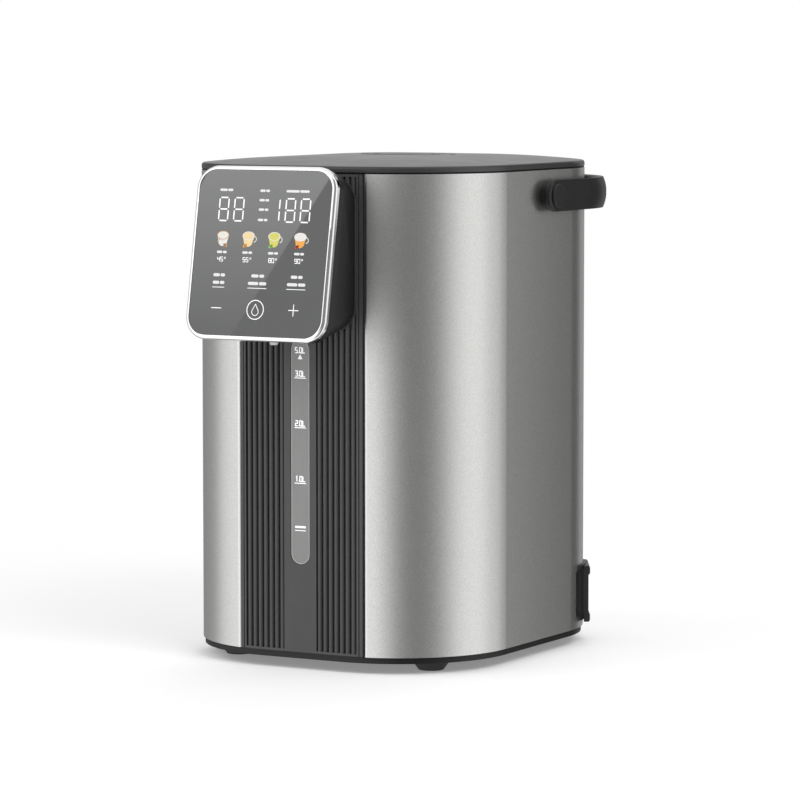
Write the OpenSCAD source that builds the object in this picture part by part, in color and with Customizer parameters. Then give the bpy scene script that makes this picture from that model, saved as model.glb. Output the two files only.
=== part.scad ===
// Electric thermo pot: steel body, hinged lid, tilted touch head, folding carry handle,
// inner tank, heater, magnetic-drive pump and electrics.
// Millimetres. +Z is up, the head faces -Y, and the feet stand on z = 0.

/* [Body] */
// Width of the steel body, side to side
body_w = 209; // [175:1:255]
// Depth of the steel body, front to back
body_d = 242; // [200:1:295]
// Corner radius of the body, seen from above
body_r = 76; // [62:1:86]
// Height of the steel shell
shell_h = 298; // [248:1:360]
// Thickness of the steel sheet
shell_t = 0.6; // [0.4:0.1:1.2]
// Outer radius of the rolled edges on both sides of the front panel
hem_r = 2.2; // [1.5:0.1:3]

/* [Base] */
// Height of the feet below the base ring
foot_h = 6.8; // [4:0.1:12]
// Radius of a foot at its top
foot_r = 12.9; // [10:0.1:16]
// Radius of a foot where it meets the floor
foot_tip_r = 7.9; // [5:0.1:10]
// Distance from the body's side to a foot's centre
foot_inset_x = 34.7; // [26:0.1:45]
// Distance from the body's front or back to a foot's centre
foot_inset_y = 41.8; // [34:0.1:55]
// Height of the base ring that shows under the shell
ring_h = 3.9; // [3:0.1:8]
// How far the base ring stands back from the shell
ring_inset = 1.2; // [0.8:0.1:2]
// Thickness of the base cover
base_t = 2.5; // [2:0.1:4]

/* [Front panel] */
// Width of the front panel
panel_w = 87; // [80:0.2:100]
// Thickness of the front panel
panel_t = 3.6; // [3:0.1:5]
// Number of ribs on each side of the gauge
rib_count = 7; // [5:1:8]
// Distance from rib to rib
rib_pitch = 3.95; // [3.4:0.05:4.1]
// Radius of a rib
rib_r = 1.5; // [1:0.1:1.6]
// Depth of the grooves between the ribs
groove_d = 2.4; // [1.7:0.1:2.5]
// Width of the flat strip that holds the gauge
strip_w = 23; // [20:0.5:26]
// Height of the plain lip under and over the ribs
lip_h = 1.5; // [1:0.1:6]

/* [Water gauge] */
// Width of the gauge window
window_w = 13.2; // [11:0.1:16]
// Gap between the gauge window's upper end and the neck over it
window_neck_gap = 6.3; // [1.3:0.1:46]
// Height of the window's lower end above the shell's lower edge
window_low = 55.3; // [52:0.1:60]
// Outside radius of the glass gauge tube
tube_r = 4.5; // [4:0.1:5]

/* [Head] */
// Width of the head
head_w = 98.8; // [85:0.2:118]
// Height of the head, along the glass
head_h = 107; // [92:1:128]
// Corner radius of the head
head_r = 14.3; // [10:0.1:20]
// Lean of the glass, back from upright
head_tilt = 10; // [4:0.5:14]
// Reach of the glass's middle ahead of the body
head_reach = 47.5; // [44:0.5:57]
// Depth of the glass's middle below the shell's upper edge
head_drop = 47.1; // [44:0.1:56]
// Width of the bright bezel, seen from the front
bezel_w = 2.5; // [1.8:0.1:4]
// Depth of the bezel
bezel_t = 4.5; // [4:0.1:8]
// Width of the neck where it meets the panel
neck_w = 78; // [66:1:84]
// Height of the neck where it meets the panel
neck_h = 94; // [78:1:98]
// Wall of the head housing
head_wall = 2.5; // [2:0.1:3.5]
// Distance of the nozzle ahead of the body
nozzle_reach = 31; // [28:0.5:34]

/* [Lid] */
// Height of the lid's crown above the shell
lid_rise = 8.4; // [7.5:0.1:14]
// Rise of the crown above the lid's own edge
crown_rise = 3.9; // [3:0.1:4.5]
// Radius of the lid's edge
lid_edge_r = 1.8; // [1:0.1:2.2]
// Wall of the lid cover
lid_wall = 2.4; // [2:0.1:3]
// Depth of the fixed deck behind the lid
deck_d = 28; // [25:0.5:34]
// Width of the finger recess
recess_w = 66; // [56:1:76]
// Depth of the finger recess, front to back
recess_d = 30; // [28:0.5:36]
// Distance of the finger recess behind the body's centre
recess_y = 17; // [12:0.5:22]

/* [Handle] */
// Thickness of the handle
grip_t = 5.6; // [5.2:0.1:8]
// Height of the handle's section
grip_h = 19.8; // [18:0.1:24]
// Radius of the crown on the handle's outer face
grip_crown_r = 24; // [16:1:60]
// Gap between the shell's side and a handle arm
arm_gap = 4; // [2.4:0.1:5]
// Gap between the shell's back and the handle
grip_gap = 10; // [8.5:0.1:14]
// Outer corner radius of the handle, seen from above
grip_r = 80; // [66:1:88]
// Depth of the pivots below the shell's upper edge
pivot_drop = 16.2; // [15:0.1:24]
// Distance of the pivots behind the body's centre
pivot_y = 8; // [0:0.5:12]

/* [Tank] */
// Gap between the tank's wall and the shell's side
tank_gap = 8.9; // [8:0.1:14]
// Least depth kept free before and behind the tank, for the gauge, the hoses and the deck
tank_room = 25; // [24.5:0.5:34]
// Thickness of the tank's wall
tank_t = 0.8; // [0.5:0.1:1]
// Outer radius of the bend between the tank's wall and its floor
tank_bend_r = 2.5; // [1.5:0.5:8]
// Distance of the tank's axis behind the body's centre
tank_y = 0; // [-2:0.5:2]
// Width of the collar's ledge round the tank's mouth
ledge_in = 11; // [9:0.5:14]
// Height of the bay under the tank for pump and electrics
bay_h = 70.3; // [69:0.1:84]
// Depth of the lid's plug below the collar
plug_d = 24; // [20:0.5:30]

/* [Pump] */
// Distance of the pump's axis to the left of the middle
pump_x = 16; // [14:0.5:20]
// Distance of the pump's axis behind the body's front
pump_back = 53; // [50:0.5:56]
// Outside radius of the pump
pump_r = 22; // [20:0.5:24]
// Number of vanes on the impeller
vane_count = 6; // [5:1:8]

/* [Fits] */
// Gap between fixed pieces that slip into each other
slip = 0.2; // [0.1:0.05:0.3]
// Radial running clearance of a pin in its bore
running = 0.05; // [0.02:0.01:0.08]

/* [Hidden] */
$fn = 96;
tiny = 0.01;

// Heights, from the floor up
shell_z0 = foot_h + ring_h;
shell_z1 = shell_z0 + shell_h;
seam_h = 0.8;
collar_z = shell_z1 + seam_h;
lid_z = collar_z + 0.2;
crown_z = shell_z1 + lid_rise;
crown_R = (pow(body_r, 2) + pow(crown_rise, 2)) / (2 * crown_rise);

// Plan of the body
flat_x = body_w / 2 - body_r;
flat_y = body_d / 2 - body_r;
front_y = -body_d / 2;
back_y = body_d / 2;
panel_back_y = front_y + panel_t;
hem_x = panel_w / 2 + slip;
panel_z0 = shell_z0 + slip;
panel_z1 = shell_z1 - slip;

// Head
head_y = front_y - head_reach;
head_z = shell_z1 - head_drop;
neck_z1 = shell_z1 - 2.4;
neck_z0 = neck_z1 - neck_h;
neck_r = 15;
bezel_edge_r = bezel_w - 0.2;
glass_front = 0.3;
glass_t = 2;
glass_w = head_w - 2 * bezel_w;
glass_h = head_h - 2 * bezel_w;
glass_r = head_r - bezel_w;
ledge_w = 3;
reflector_y = glass_front + glass_t + 0.1;
reflector_t = 8;
board_y = reflector_y + reflector_t;
board_t = 1.6;
reflector_w = glass_w - 2 * (ledge_w + slip);
reflector_h = glass_h - 2 * (ledge_w + slip);

// Water path
gauge_y = front_y + 11;
tube_bore_r = tube_r - 1.1;
hose_bore_r = tube_r + 0.2;
hose_r = hose_bore_r + 1.5;
tube_z0 = shell_z0 + 49.8;
tube_z1 = neck_z0 - 1;
hose_pass_z = neck_z0 + 36;
window_z0 = shell_z0 + window_low;
window_h = neck_z0 - window_neck_gap - window_z0;
hose_bend = 12;
nozzle_y = front_y - nozzle_reach;
nozzle_tip_z = head_z - (head_h / 2) * cos(head_tilt) - 4.2;
nozzle_tip_r = 2.1;
nozzle_r = 3.9;

// Tank and lid plug
// The largest round tank that leaves its gap at the sides and its room before and behind it
tank_r = min(body_w / 2 - shell_t - tank_gap, body_d / 2 - tank_room);
tank_floor_z = shell_z0 + bay_h;
tank_under_z = tank_floor_z - tank_t;
collar_t = 4.5;
collar_under_z = collar_z - collar_t;
flange_w = 3.5;
rim_ring_t = 1.5;
tank_rim_z = collar_under_z - 2.8;
hem_d = 6.5;
lid_back_y = back_y - deck_d;
gasket_w = 6;
gasket_gap = 1;
mouth_r = min(tank_r - ledge_in, lid_back_y - tank_y - gasket_w - gasket_gap);
plug_r = mouth_r - 4;
plug_wall = 2;
lid_flange_t = 1.2;
lid_pad_h = 2.2;
plug_z = collar_z - plug_d;
ledge_r = mouth_r + 6.5;
ledge_z = collar_z - 2;

// Hinge, recess and latch
hinge_y = lid_back_y + 11;
hinge_z = collar_z + 2.7;
hinge_pin_r = 1.5;
knuckle_r = 2.4;
hinge_half = 12.7;
lid_seam = 0.8;
recess_floor_z = crown_z - 8.5;
recess_r = recess_d / 2 - 0.1;
lever_y = recess_y + recess_d / 2 - 2.8;
lever_r = 2.1;
lever_z = crown_z - lever_r - 0.1;
lever_half = recess_w / 2 - 7;
lever_pin_r = 1.2;
lever_gap_x = 12;
slide_w = 10;
slide_t = 1.5;
slide_z = recess_floor_z - 6;
slide_front_z = lid_z + 0.3;
slide_step_y = tank_y - plug_r + 14;
guide_at = [slide_step_y + 16, recess_y - recess_d / 2 - 4];
slot_rear_y = tank_y - tank_r - flange_w;
latch_y = slot_rear_y - 5.5;
slot_front_y = latch_y - 7.5;
duct_y = recess_y + recess_d / 2 + 22;
duct_r = 12.5;

// Handle
pivot_z = shell_z1 - pivot_drop;
arm_x0 = body_w / 2 + arm_gap;
arm_x1 = arm_x0 + grip_t;
grip_y1 = back_y + grip_gap + grip_t;
grip_edge_r = 1.8;
boss_r = 8.4;
spigot_r = 5;
pin_r = 4;
cap_r = 7.8;
cap_proud = 0.6;
cap_edge_r = 0.8;
nut_r = 8.5;
cap_seat_x = arm_x0 + 2.6;

// Pump, from the tank down
pump_y = front_y + pump_back;
spigot_drop = 10;
pump_top_z = tank_under_z - 23.2;
volute_z0 = pump_top_z - 15;
motor_top_z = volute_z0 - 5.5;
motor_z0 = foot_h + base_t + 4.7;
motor_r = 15;
outlet_x = -pump_x + 16;
outlet_z = volute_z0 + 6.8;

// Socket, on the rear right corner
socket_angle = 29;
socket_half = 20;
socket_z0 = shell_z0 + 4.6;
socket_h = 36;
socket_face = 3;
socket_flange_t = 1.6;
seam = 0.02;
socket_flange_angle = 21.6;
socket_pocket = 3.8;

// Origin: middle of the whole object's box, on the floor
head_front_y = head_y + bezel_edge_r * (cos(head_tilt) - 1)
    - (head_h / 2 - bezel_edge_r) * sin(head_tilt);
origin_y = -(head_front_y + grip_y1) / 2;

// Centre of a rolled edge, and the way from it to where the roll meets the wall
hem_out = max(0, hem_x + hem_r - flat_x);
hem_centre = [hem_x + hem_r, -flat_y - sqrt(pow(body_r - hem_r, 2) - pow(hem_out, 2))];
hem_way = [hem_out, hem_centre.y + flat_y] / (body_r - hem_r);

// Screws and feet under the base
screw_head_r = 2.8;
screw_sink = 1.5;
rim_screw_inset = 6.6;
base_screw_at = [
    for (sx = [-1, 1], sy = [-1, 1]) [sx * (flat_x + 0.7 * (body_r - rim_screw_inset)),
        sy * (flat_y + 0.714 * (body_r - rim_screw_inset))],
    [0, back_y - rim_screw_inset]
];
foot_at = [for (sx = [-1, 1], sy = [-1, 1])
    [sx * (body_w / 2 - foot_inset_x), sy * (body_d / 2 - foot_inset_y)]];

// Screws behind the neck, in the rear deck and under the lid
neck_screw_at = [for (sx = [-1, 1], z = [neck_z0 + 14, neck_z1 - 14]) [sx * (neck_w / 2 - 14), z]];
deck_screw_at = [for (s = [-1, 1]) each [[s * 20, back_y - 11], [s * 58, back_y - 22]]];
lid_screw_at = [for (s = [-1, 1]) each [[s * 30, front_y + 17], [s * 68, front_y + 42],
    [s * 66, lid_back_y - 12]]];

// Places of the touch keys on the glass, in the head's frame
icon_z = 7;
label_z = -18;
key_z = -35;
key_at = [
    for (i = [-1.5, -0.5, 0.5, 1.5]) [i * 18, icon_z],
    for (i = [-1, 0, 1], z = [label_z, key_z]) [i * 27, z]
];
digit_at = [for (x = [-25.5, -15, 16, 26.5]) [x, 30]];

// Spill valve, in the lid's steam passage
valve_r = 6.2;
valve_h = 8;
valve_z = plug_z + 1.7;
valve_travel = 3;

// Keep-warm band round the tank, heating plate under it, and the cradle's three legs
band_z = tank_floor_z + 14;
band_h = 30;
element_ring_r = 44;
element_r = 4;
heater_r = 60;
cradle_r = tank_r - 9;
cradle_angle = [12, 128, 215];
cradle_foot_at = [for (a = cradle_angle)
    [(cradle_r - 10) * cos(a), tank_y + (cradle_r - 10) * sin(a)]];

// Screw ears of the pump, and the mains board
ear_r = 3.4;
board_z = foot_h + base_t + 7;
board_post_at = [for (x = [8, 58], y = [14, 62]) [x, y]];

// ---- Helpers ---------------------------------------------------------------------------------

// Moves a piece from the body's centre line to the model's origin
module seat() translate([0, origin_y, 0]) children();

// Tilted frame of the head: x right, y into the head from the glass, z up along the glass
module head_frame() translate([0, head_y, head_z]) rotate([-head_tilt, 0, 0]) children();

// Frame of the corner that holds the socket: x outward, z up
module socket_frame() translate([flat_x, flat_y, 0]) rotate([0, 0, socket_angle]) children();

module mirrored_x() {
    children();
    mirror([1, 0, 0]) children();
}

module rounded_rect(w, d, r) {
    square([w - 2 * r, d], center = true);
    square([w, d - 2 * r], center = true);
    for (sx = [-1, 1], sy = [-1, 1])
        translate([sx * (w / 2 - r), sy * (d / 2 - r)]) circle(r);
}

// Plan of the body, stood in by an inset
module plan(inset) rounded_rect(body_w - 2 * inset, body_d - 2 * inset, body_r - inset);

module plan_slab(inset, z0, z1)
    translate([0, 0, z0]) linear_extrude(z1 - z0) plan(inset);

module plan_band(inset, t, z0, z1)
    translate([0, 0, z0]) linear_extrude(z1 - z0) difference() {
        plan(inset);
        plan(inset + t);
    }

// Upright slab in the XZ plane, from y0 towards +Y
module face_slab(w, h, r, y0, t)
    translate([0, y0 + t, 0]) rotate([90, 0, 0]) linear_extrude(t) rounded_rect(w, h, r);

module block(x0, x1, y0, y1, z0, z1)
    translate([x0, y0, z0]) cube([x1 - x0, y1 - y0, z1 - z0]);

module disc(r, z0, z1) translate([0, 0, z0]) cylinder(r = r, h = z1 - z0);

module tube(r1, r0, z0, z1) difference() {
    disc(r1, z0, z1);
    disc(r0, z0 - 1, z1 + 1);
}

module bar_x(r, x0, x1) translate([x0, 0, 0]) rotate([0, 90, 0]) cylinder(r = r, h = x1 - x0);

module bar_y(r, y0, y1) translate([0, y1, 0]) rotate([90, 0, 0]) cylinder(r = r, h = y1 - y0);

// Sweeps a profile round a rounded rectangle; the profile's x runs from the corner's centre
module sweep_around(w, d, r) {
    for (i = [0:3])
        translate([[1, -1, -1, 1][i] * (w / 2 - r), [1, 1, -1, -1][i] * (d / 2 - r), 0])
            rotate([0, 0, 90 * i]) rotate_extrude(angle = 90) children();
    for (s = [0, 1]) mirror([s, 0, 0]) translate([w / 2 - r, 0, 0]) rotate([90, 0, 0])
        translate([0, 0, -(d / 2 - r)]) linear_extrude(d - 2 * r) children();
    for (s = [0, 1]) mirror([0, s, 0]) translate([0, d / 2 - r, 0]) rotate([90, 0, 90])
        translate([0, 0, -(w / 2 - r)]) linear_extrude(w - 2 * r) children();
}

// Profile of the crown: a flat arc that ends in a rounded edge of radius er
module crown_profile(r, z0, top, er) {
    edge_x = r - er;
    lean = asin(edge_x / (crown_R - er));
    edge_z = top - crown_R + (crown_R - er) * cos(lean);
    difference() {
        intersection() {
            translate([0, z0]) square([r, top - z0]);
            translate([0, top - crown_R]) circle(crown_R, $fn = 1440);
        }
        if (er > 0) difference() {
            polygon([[edge_x, edge_z], [edge_x + 9 * sin(lean), edge_z + 9 * cos(lean)],
                [r + 9, edge_z + 9], [r + 9, edge_z]]);
            translate([edge_x, edge_z]) circle(er);
        }
    }
}

// Crowned slab over the body's plan: flat in the middle, falling evenly to the edge
module crown(inset, z0, top, er) {
    w = body_w - 2 * inset;
    d = body_d - 2 * inset;
    r = body_r - inset;
    sweep_around(w, d, r) crown_profile(r, z0, top, er);
    block(-(w / 2 - r), w / 2 - r, -(d / 2 - r), d / 2 - r, z0, top);
}

// Water pipe in the YZ plane: straight down by a, a quarter bend of radius b, then along -Y by c;
// a bore runs over both ends by over
module bent_pipe(r, a, b, c, over = 0) {
    translate([0, 0, -a - over]) cylinder(r = r, h = a + over);
    translate([0, -b, 0]) rotate([90, 0, 90]) rotate_extrude(angle = 90)
        translate([b, 0]) circle(r);
    translate([0, -b, b]) rotate([90, 0, 0]) cylinder(r = r, h = c + over);
}

// Screw with its head at z = 0 and its shank towards -Z
module screw(head_rad, head_t, shank_rad, shank_l) {
    difference() {
        disc(head_rad, 0, head_t);
        block(-head_rad * 0.7, head_rad * 0.7, -0.3, 0.3, head_t * 0.5, head_t + 1);
        block(-0.3, 0.3, -head_rad * 0.7, head_rad * 0.7, head_t * 0.5, head_t + 1);
    }
    disc(shank_rad, -shank_l, 0);
}

// Points and faces of a round wire coiled about X
function coil_points(coil_r, wire_r, pitch, turns, steps, sides) = [
    for (i = [0:turns * steps], j = [0:sides - 1])
        let (a = 360 * i / steps, b = 360 * j / sides, r = coil_r + wire_r * cos(b))
        [pitch * i / steps + wire_r * sin(b), r * cos(a), r * sin(a)]
];
function coil_faces(rings, sides) = concat(
    [[for (j = [sides - 1:-1:0]) j]],
    [for (i = [0:rings - 2], j = [0:sides - 1])
        [i * sides + j, i * sides + (j + 1) % sides, (i + 1) * sides + (j + 1) % sides,
            (i + 1) * sides + j]],
    [[for (j = [0:sides - 1]) (rings - 1) * sides + j]]
);

// ---- Casing ----------------------------------------------------------------------------------

// Everything between a rolled edge's centre, its meeting with the wall and the opening
module hem_wedge() {
    far = hem_centre + (hem_r + 2) * hem_way;
    translate([0, 0, shell_z0 - 1]) linear_extrude(shell_h + 2)
        polygon([hem_centre, far, [hem_x - 1, far.y - 1], [hem_x - 1, hem_centre.y]]);
}

// One steel wrapper, open at the front for the panel, with rolled and hemmed edges
module outer_shell() color("silver") seat() {
    difference() {
        plan_band(0, shell_t, shell_z0, shell_z1);
        block(-hem_x, hem_x, front_y - 1, -flat_y, shell_z0 - 1, shell_z1 + 1);
        mirrored_x() hem_wedge();
        for (s = [-1, 1]) translate([0, pivot_y, pivot_z])
            bar_x(spigot_r + slip, s > 0 ? body_w / 2 - 3 : -body_w / 2 - 3,
                s > 0 ? body_w / 2 + 3 : -body_w / 2 + 3);
        socket_frame() block(body_r - 9, body_r + 5, -socket_half + 2.8, socket_half - 2.8,
            socket_z0 + 2.8, socket_z0 + socket_h - 2.8);
    }
    mirrored_x() {
        intersection() {
            translate(hem_centre) tube(hem_r, hem_r - shell_t, shell_z0, shell_z1);
            hem_wedge();
        }
        block(hem_x, hem_x + shell_t, hem_centre.y, front_y + hem_d, shell_z0, shell_z1);
    }
}

// Ring under the shell, with the ledge that carries it and a lip inside it
module base_ring() color([0.13, 0.13, 0.14]) seat() {
    lip_t = 2;
    lip_z = 7;
    difference() {
        union() {
            plan_band(ring_inset, 7, foot_h, shell_z0);
            plan_band(shell_t + slip, lip_t, shell_z0 - tiny, shell_z0 + lip_z);
        }
        plan_slab(ring_inset + 4, foot_h - 1, foot_h + base_t);
        block(-hem_x - hem_r - slip, hem_x + hem_r + slip, front_y - 1,
            front_y + max(panel_t, hem_d) + 1, shell_z0, shell_z0 + lip_z + 1);
        for (p = base_screw_at) translate([p[0], p[1], 0]) {
            disc(1.4, 0, shell_z0 + lip_z + 1);
            disc(screw_head_r + slip, 0, foot_h + screw_sink);
        }
    }
}

// Floor of the base, with air slots and the sockets of the feet
module base_cover() color([0.16, 0.16, 0.17]) seat() {
    slot_l = 44;
    difference() {
        union() {
            plan_slab(ring_inset + 4 + slip, foot_h, foot_h + base_t);
            for (p = foot_at) translate([p[0], p[1], 0]) disc(8, foot_h, foot_h + base_t + 1.5);
            translate([-pump_x, pump_y, 0]) tube(motor_r + 3.4, motor_r + 1.4, foot_h, motor_z0);
            for (p = board_post_at) translate([p[0], p[1], 0]) disc(3.2, foot_h, board_z);
        }
        for (i = [-4:4]) translate([i * 8, 12, foot_h - 1]) linear_extrude(base_t + 2)
            rounded_rect(3, slot_l, 1.49);
        for (p = foot_at) translate([p[0], p[1], 0]) disc(4 + slip, foot_h - 1, foot_h + 9);
        for (p = base_screw_at) translate([p[0], p[1], 0]) {
            disc(1.7, foot_h - 1, foot_h + 9);
            disc(screw_head_r + slip, foot_h - 1, foot_h + screw_sink);
        }
        for (p = cradle_foot_at) translate([p[0], p[1], 0]) disc(1.6, foot_h - 1, foot_h + 9);
    }
}

// Four push-in rubber feet
module feet() color([0.07, 0.07, 0.07]) seat() for (p = foot_at) translate([p[0], p[1], 0]) {
    difference() {
        cylinder(r1 = foot_tip_r, r2 = foot_r, h = foot_h);
        disc(foot_tip_r - 4, -1, 1.2);
    }
    disc(4, foot_h - tiny, foot_h + base_t + 1.6);
    disc(5.4, foot_h + base_t + 1.5, foot_h + base_t + 3);
}

module base_screws() color([0.55, 0.55, 0.57]) seat() for (p = base_screw_at)
    translate([p[0], p[1], foot_h + screw_sink]) mirror([0, 0, 1])
        screw(screw_head_r, 1.4, 1.3, 9);

// ---- Front panel and water gauge --------------------------------------------------------------

// Fall of the crown at a given distance in front of or behind the body's centre
function crown_drop(y) = abs(y) > flat_y
    ? crown_R - sqrt(pow(crown_R, 2) - pow(abs(y) - flat_y, 2)) : 0;

// Front of the body's plan at a given distance from the middle
function plan_front(x) = front_y + (abs(x) > flat_x
    ? body_r - sqrt(pow(body_r, 2) - pow(abs(x) - flat_x, 2)) : 0);

module window_shape(grow) translate([0, 0, window_z0 + window_h / 2])
    face_slab(window_w + 2 * grow, window_h + 2 * grow, window_w / 2 + grow - tiny,
        front_y - 3, 20);

// Outline of the seat that the neck stands on, a little larger than the neck
module neck_seat(y0, t) translate([0, 0, (neck_z0 + neck_z1) / 2])
    face_slab(neck_w + 1.2, neck_h + 1.2, neck_r + 0.6, y0, t);

// Ways through the panel: the gauge window, the hose and the neck's screws
module panel_holes() {
    window_shape(slip);
    translate([0, 0, hose_pass_z - 2]) bar_y(hose_r + 6, front_y - 5, front_y + 15);
    for (p = neck_screw_at) translate([p[0], 0, p[1]]) bar_y(1.6, front_y - 5, front_y + 15);
}

// Ribbed plastic strip that closes the shell's open front
module front_panel() color([0.27, 0.27, 0.28]) seat() {
    rib_x0 = strip_w / 2;
    rib_x1 = rib_x0 + rib_count * rib_pitch;
    rib_z0 = panel_z0 + lip_h;
    rib_z1 = panel_z1 - lip_h;
    edge_line_x = panel_w / 2 - 2.5;
    side_t = 2;
    difference() {
        union() {
            intersection() {
                plan_band(0, panel_t, panel_z0, panel_z1);
                block(-panel_w / 2, panel_w / 2, front_y - 1, -flat_y, 0, panel_z1);
            }
            mirrored_x() block(panel_w / 2 - side_t, panel_w / 2, plan_front(panel_w / 2) + 2,
                front_y + 12, panel_z0, collar_under_z - 8);
        }
        mirrored_x() intersection() {
            plan_band(-1, 1 + groove_d, rib_z0, rib_z1);
            block(rib_x0, rib_x1 + 0.5, front_y - 2, -flat_y, 0, panel_z1);
        }
        mirrored_x() intersection() {
            plan_band(-1, 2, panel_z0 - 1, panel_z1 + 1);
            block(edge_line_x, edge_line_x + 0.6, front_y - 2, -flat_y, 0, shell_z1);
        }
        panel_holes();
    }
    difference() {
        mirrored_x() for (i = [0:rib_count - 1]) {
            x = rib_x0 + (i + 0.5) * rib_pitch;
            y = plan_front(x) + rib_r;
            translate([x, y, 0]) disc(rib_r, rib_z0 - tiny, rib_z1 + tiny);
            block(x - rib_r, x + rib_r, y, plan_front(x) + groove_d + 0.6, rib_z0 - tiny,
                rib_z1 + tiny);
        }
        neck_seat(front_y - 5, 15);
        panel_holes();
    }
    difference() {
        neck_seat(front_y, groove_d + 1);
        panel_holes();
    }
}

// Clear insert with a flange behind the panel
module gauge_window() color([0.75, 0.78, 0.8, 0.5]) seat() {
    intersection() {
        window_shape(0);
        block(-20, 20, front_y + 0.4, panel_back_y + 0.8, 0, shell_z1);
    }
    intersection() {
        window_shape(2.4);
        block(-20, 20, panel_back_y, panel_back_y + 0.8, 0, shell_z1);
    }
}

module gauge_tube() color([0.85, 0.9, 0.92, 0.5]) seat()
    translate([0, gauge_y, 0]) tube(tube_r, tube_bore_r, tube_z0, tube_z1);

// Silicone elbow from the pump's outlet up to the gauge tube
module riser_hose() color([0.85, 0.85, 0.83]) seat() {
    bend = 10;
    rise = 8;
    run = 12;
    translate([0, gauge_y, outlet_z + bend]) rotate([0, 0, 180]) mirror([0, 0, 1]) difference() {
        bent_pipe(hose_r, rise, bend, run);
        bent_pipe(hose_bore_r, rise, bend, run, 1);
    }
}

// Silicone hose from the gauge tube, through the neck, down to the nozzle
module outlet_hose() color([0.86, 0.86, 0.84]) seat() {
    low = hose_pass_z - hose_bend;
    run = gauge_y - hose_bend - (nozzle_y + hose_bend);
    difference() {
        union() {
            translate([0, gauge_y, low]) bent_pipe(hose_r, low - tube_z1 + 8, hose_bend, run);
            translate([0, nozzle_y, low]) rotate([0, 0, 180])
                bent_pipe(hose_r, 14, hose_bend, tiny);
        }
        translate([0, gauge_y, low]) bent_pipe(hose_bore_r, low - tube_z1 + 8, hose_bend,
            run - 1, 1);
        translate([0, nozzle_y, low]) rotate([0, 0, 180])
            bent_pipe(hose_bore_r, 14, hose_bend, tiny, 1);
    }
}

// Nozzle: a narrow tapered tip below the head, a flange and a hose barb inside it
module nozzle() color([0.82, 0.83, 0.84]) seat() translate([0, nozzle_y, 0]) {
    flange_r = 7.5;
    flange_z = neck_z0 + 3.2;
    flange_h = 1.6;
    taper_z = nozzle_tip_z + 4;
    wall = 1.6;
    spigot = hose_bore_r - slip;
    top_z = hose_pass_z - hose_bend - 6;
    difference() {
        rotate_extrude() polygon([[0, nozzle_tip_z], [nozzle_tip_r, nozzle_tip_z],
            [nozzle_r, taper_z], [nozzle_r, flange_z], [flange_r, flange_z],
            [flange_r, flange_z + flange_h], [spigot, flange_z + flange_h], [spigot, top_z],
            [0, top_z]]);
        disc(nozzle_tip_r - 0.8, nozzle_tip_z - 1, taper_z);
        disc(nozzle_r - wall, taper_z - tiny, hose_pass_z);
    }
}

// ---- Head -------------------------------------------------------------------------------------

// Moulded housing: a tilted front that tapers back to the neck
module head_housing() color([0.09, 0.09, 0.1]) seat() difference() {
    hull() {
        head_frame() face_slab(head_w - 1.8, head_h - 1.8, head_r - 0.9, bezel_t, 7, $fn = 32);
        translate([0, 0, (neck_z0 + neck_z1) / 2])
            face_slab(neck_w, neck_h, neck_r, front_y - 1, 1, $fn = 32);
    }
    hull() {
        head_frame() face_slab(head_w - 1.8 - 2 * head_wall, head_h - 1.8 - 2 * head_wall,
            head_r - 0.9 - head_wall, bezel_t - 1, 8, $fn = 32);
        translate([0, 0, (neck_z0 + neck_z1) / 2]) face_slab(neck_w - 2 * head_wall,
            neck_h - 2 * head_wall, neck_r - head_wall, front_y - head_wall - 0.5, 0.5, $fn = 32);
    }
    translate([0, nozzle_y, 0]) disc(nozzle_r + slip, nozzle_tip_z, neck_z0 + 12);
    translate([0, 0, hose_pass_z - 2]) bar_y(hose_r + 5, front_y - 8, front_y + 2);
    for (p = neck_screw_at) translate([p[0], 0, p[1]]) bar_y(1.35, front_y - 8, front_y + 2);
}

// Bright ring round the glass, with a ledge behind it
module head_bezel() color([0.8, 0.81, 0.82]) seat() head_frame()
    rotate([90, 0, 0]) mirror([0, 0, 1]) sweep_around(head_w, head_h, head_r) bezel_profile();

module bezel_profile() {
    r = head_r;
    difference() {
        translate([r - bezel_w + slip / 2, 0]) square([bezel_w - slip / 2, bezel_t]);
        difference() {
            translate([r - bezel_edge_r, -1]) square([bezel_edge_r + 1, bezel_edge_r + 1]);
            translate([r - bezel_edge_r, bezel_edge_r]) circle(bezel_edge_r);
        }
    }
    translate([r - bezel_w - ledge_w, glass_front + glass_t])
        square([ledge_w + 1, bezel_t - glass_front - glass_t]);
}

module display_glass() color([0.3, 0.3, 0.31]) seat() head_frame()
    face_slab(glass_w, glass_h, glass_r, glass_front, glass_t);

// White light guide behind the glass, with windows for digits, pictures and key springs
module display_reflector() color([0.9, 0.9, 0.88]) seat() head_frame() difference() {
    face_slab(reflector_w, reflector_h, glass_r - ledge_w, reflector_y, reflector_t);
    for (p = digit_at) translate([p[0], 0, p[1]]) face_slab(8.6, 16, 0.5, reflector_y - 1, 20);
    translate([8, 0, 30]) face_slab(2.4, 16, 0.5, reflector_y - 1, 20);
    translate([0, 0, 30]) face_slab(6, 20, 1, reflector_y - 1, 20);
    for (p = key_at) translate([p[0], reflector_y - 1, p[1]]) bar_y(4.4, 0, 20);
}

module display_board() color([0.1, 0.32, 0.18]) seat() head_frame() {
    face_slab(reflector_w, reflector_h, glass_r - ledge_w, board_y, board_t);
    block(-9, 9, board_y + board_t - tiny, board_y + board_t + 2.5, 22, 38);
    mirrored_x() block(20, 30, board_y + board_t - tiny, board_y + board_t + 2, -6, 4);
    block(26, 36, board_y + board_t - tiny, board_y + board_t + 5, 8, 20);
}

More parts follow.
